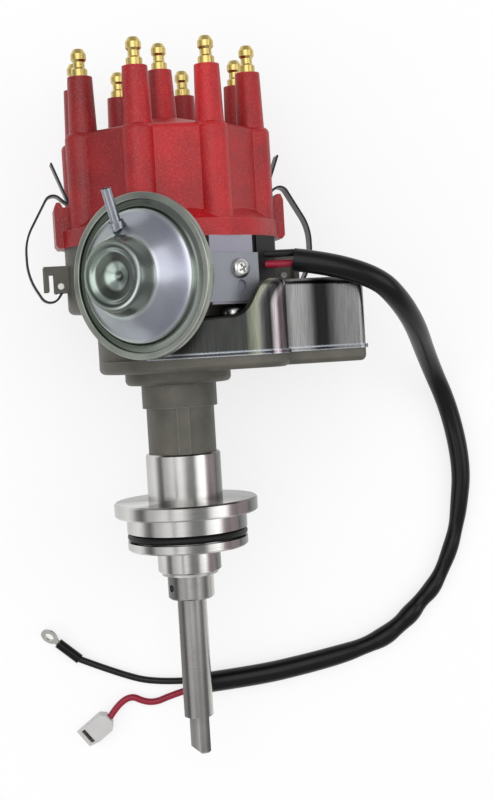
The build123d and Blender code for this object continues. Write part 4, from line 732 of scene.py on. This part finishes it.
def cord_curve(name, radius, points, paint, shares=None):
    """A round cord along given points, narrower where a point's share of the radius is less."""
    data = bpy.data.curves.new(name, "CURVE")
    data.dimensions = "3D"
    data.bevel_depth = radius
    data.bevel_resolution = 8
    data.resolution_u = 24
    data.use_fill_caps = True
    spline = data.splines.new("NURBS")
    spline.points.add(len(points) - 1)
    for place, share, point in zip(points, shares or [1] * len(points), spline.points):
        point.co = (*place, 1)
        point.radius = share
    spline.order_u = 3
    spline.use_endpoint_u = True
    data.materials.append(paint)
    cord = bpy.data.objects.new(name, data)
    bpy.context.scene.collection.objects.link(cord)
    return cord


sleeve_points = [sleeve_start, (0.080, 0.100, 0.030), (0.0995, 0.082, 0.014),
                 (0.115, 0.0575, -0.031), (0.1255, 0.035, sleeve_z), (0.1300, 0.008, sleeve_z)]
sleeve_shares = [1.0, 1.0, 1.0, 0.92, 0.92, 0.92]
# the thin-walled sleeve is twisted and creased where it turns back under the shaft
creases = ((0.1275, -0.012, 0.84), (0.1258, -0.021, 0.68), (0.1225, -0.031, 0.80), (0.1178, -0.0415, 0.66),
           (0.1128, -0.0490, 0.88), (0.1072, -0.0545, 0.72), (0.1020, -0.0600, 0.98), (0.0965, -0.0650, 0.80),
           (0.0890, -0.0700, 1.0), (0.0800, -0.0738, 0.78), (0.0700, -0.0765, 0.94))
for x, y, share in creases:
    sleeve_points.append((x, y, on_bench + share * sleeve_r))
    sleeve_shares.append(share)
sleeve_points += [(0.0500, -0.0805, sleeve_z), (0.028, -0.084, sleeve_z), (0.0, -0.086, sleeve_z)]
sleeve_shares += [0.98, 1.0, 1.0]
sleeve = cord_curve("sleeve", sleeve_r, sleeve_points, sleeve_vinyl, sleeve_shares)
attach(sleeve, "body")
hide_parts("wire_loom")

black_end = Vector((-0.054, -0.071, on_bench + shrink_r))
black_tail = cord_curve("black_tail", wire_r,
                        [(-0.0004, -0.0849, wire_z), (-0.019, -0.085, wire_z), (-0.037, -0.079, wire_z),
                         black_end], black_vinyl)
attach(black_tail, "body")
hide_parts("black_wire")

connector_entry = Vector((-0.0416, -0.0992, on_bench + 0.0035))
red_tail = cord_curve("red_tail", wire_r,
                      [(-0.0004, -0.0883, wire_z), (-0.0115, -0.091, wire_z), (-0.0225, -0.095, wire_z),
                       (-0.034, -0.0885, wire_z), connector_entry], red_vinyl)
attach(red_tail, "body")
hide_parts("red_wire")

# ---------------------------------------------------------------- tail ends
# A tinned ring under heat-shrink on the black wire; a moulded nylon housing on the red one, its
# mouth cut aslant over a rolled female spade.
tinned = surface("tinned_copper", (0.50, 0.49, 0.46), 0.3, 1.0, grain_scale=1500, bump=0.1,
                 edge_color=(0.8, 0.8, 0.78), edge_width=0.0002)
nylon = surface("natural_nylon", (0.58, 0.57, 0.56), 0.42, grain_scale=1200, bump=0.1, cloud=0.05)
paint_node("heat_shrink", sleeve_vinyl)
paint_node("ring_terminal", tinned)

nylon_long, nylon_wide, nylon_high = 0.017, 0.0096, 0.0070
nylon_slant = 0.0066
nylon_turn = radians(217.5)
nylon_place = Matrix.Translation(Vector((connector_entry.x, connector_entry.y, on_bench))) @ Matrix.Rotation(
    nylon_turn, 4, "Z")


def box(name, low, high):
    """A rectangular blank between two corners."""
    bpy.ops.object.select_all(action="DESELECT")
    middle = [(a + b) / 2 for a, b in zip(low, high)]
    bpy.ops.mesh.primitive_cube_add(size=1, location=middle)
    blank = bpy.context.object
    blank.name = name
    blank.scale = [b - a for a, b in zip(low, high)]
    bpy.ops.object.transform_apply(location=True, rotation=True, scale=True)
    return blank


def pick_edges(piece, wanted):
    """Selects the edges whose two ends pass the test, and goes into edit mode."""
    bpy.ops.object.mode_set(mode="EDIT")
    bpy.ops.mesh.select_all(action="DESELECT")
    bpy.ops.mesh.select_mode(type="EDGE")
    bpy.ops.object.mode_set(mode="OBJECT")
    spots = piece.data.vertices
    for edge in piece.data.edges:
        edge.select = all(wanted(spots[corner].co) for corner in edge.vertices)
    bpy.ops.object.mode_set(mode="EDIT")


nylon_body = box("nylon_housing", (0, -nylon_wide / 2, 0), (nylon_long, nylon_wide / 2, nylon_high))
pick_edges(nylon_body, lambda spot: spot.x > nylon_long - 1e-5 and spot.z > nylon_high - 1e-5)
bpy.ops.transform.translate(value=(-nylon_slant, 0, 0))
bpy.ops.object.mode_set(mode="OBJECT")
for side in (-1, 1):
    pick_edges(nylon_body, lambda spot: spot.x < 1e-5 and spot.y * side > nylon_wide / 2 - 1e-5)
    bpy.ops.mesh.bevel(offset=0.0024, segments=1)
    bpy.ops.object.mode_set(mode="OBJECT")
well = box("well", (0.003, -0.0037, 0.0016), (nylon_long + 0.002, 0.0037, 0.0050))
carve(nylon_body, well)
soften_edges(nylon_body, 0.00035, 3, 30)
nylon_body.matrix_world = nylon_place
bpy.ops.object.transform_apply(location=True, rotation=True, scale=True)
bpy.ops.object.shade_smooth_by_angle(angle=radians(35))
nylon_body.data.materials.append(nylon)
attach(nylon_body, "body")
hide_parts("connector_housing")

# the spade is painted nearly black with lighter edges: painted shade inside the housing's well
spade_in_painted_shade = surface("spade_in_painted_shade", (0.055, 0.052, 0.045), 0.35, 0.9, grain_scale=1500, bump=0.1,
                    edge_color=(0.30, 0.29, 0.27), edge_width=0.0002)
spade = box("rolled_spade", (0.0034, -0.0033, 0.0019), (0.0144, 0.0033, 0.0026))
for side in (-1, 1):
    bpy.ops.object.select_all(action="DESELECT")
    bpy.ops.mesh.primitive_cylinder_add(vertices=24, radius=0.0011, depth=0.0100, end_fill_type="NOTHING",
                                        location=(0.0084, side * 0.0021, 0.0036), rotation=(0, pi / 2, 0))
    roll = bpy.context.object
    bpy.ops.object.transform_apply(location=True, rotation=True, scale=True)
    curl = roll.modifiers.new("curl", "SOLIDIFY")
    curl.thickness = 0.0004
    curl.offset = -1
    bpy.ops.object.modifier_apply(modifier="curl")
    spade.select_set(True)
    roll.select_set(True)
    bpy.context.view_layer.objects.active = spade
    bpy.ops.object.join()
spade.matrix_world = nylon_place
bpy.ops.object.transform_apply(location=True, rotation=True, scale=True)
bpy.ops.object.shade_smooth_by_angle(angle=radians(35))
spade.data.materials.append(spade_in_painted_shade)
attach(spade, "body")
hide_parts("spade_terminal")
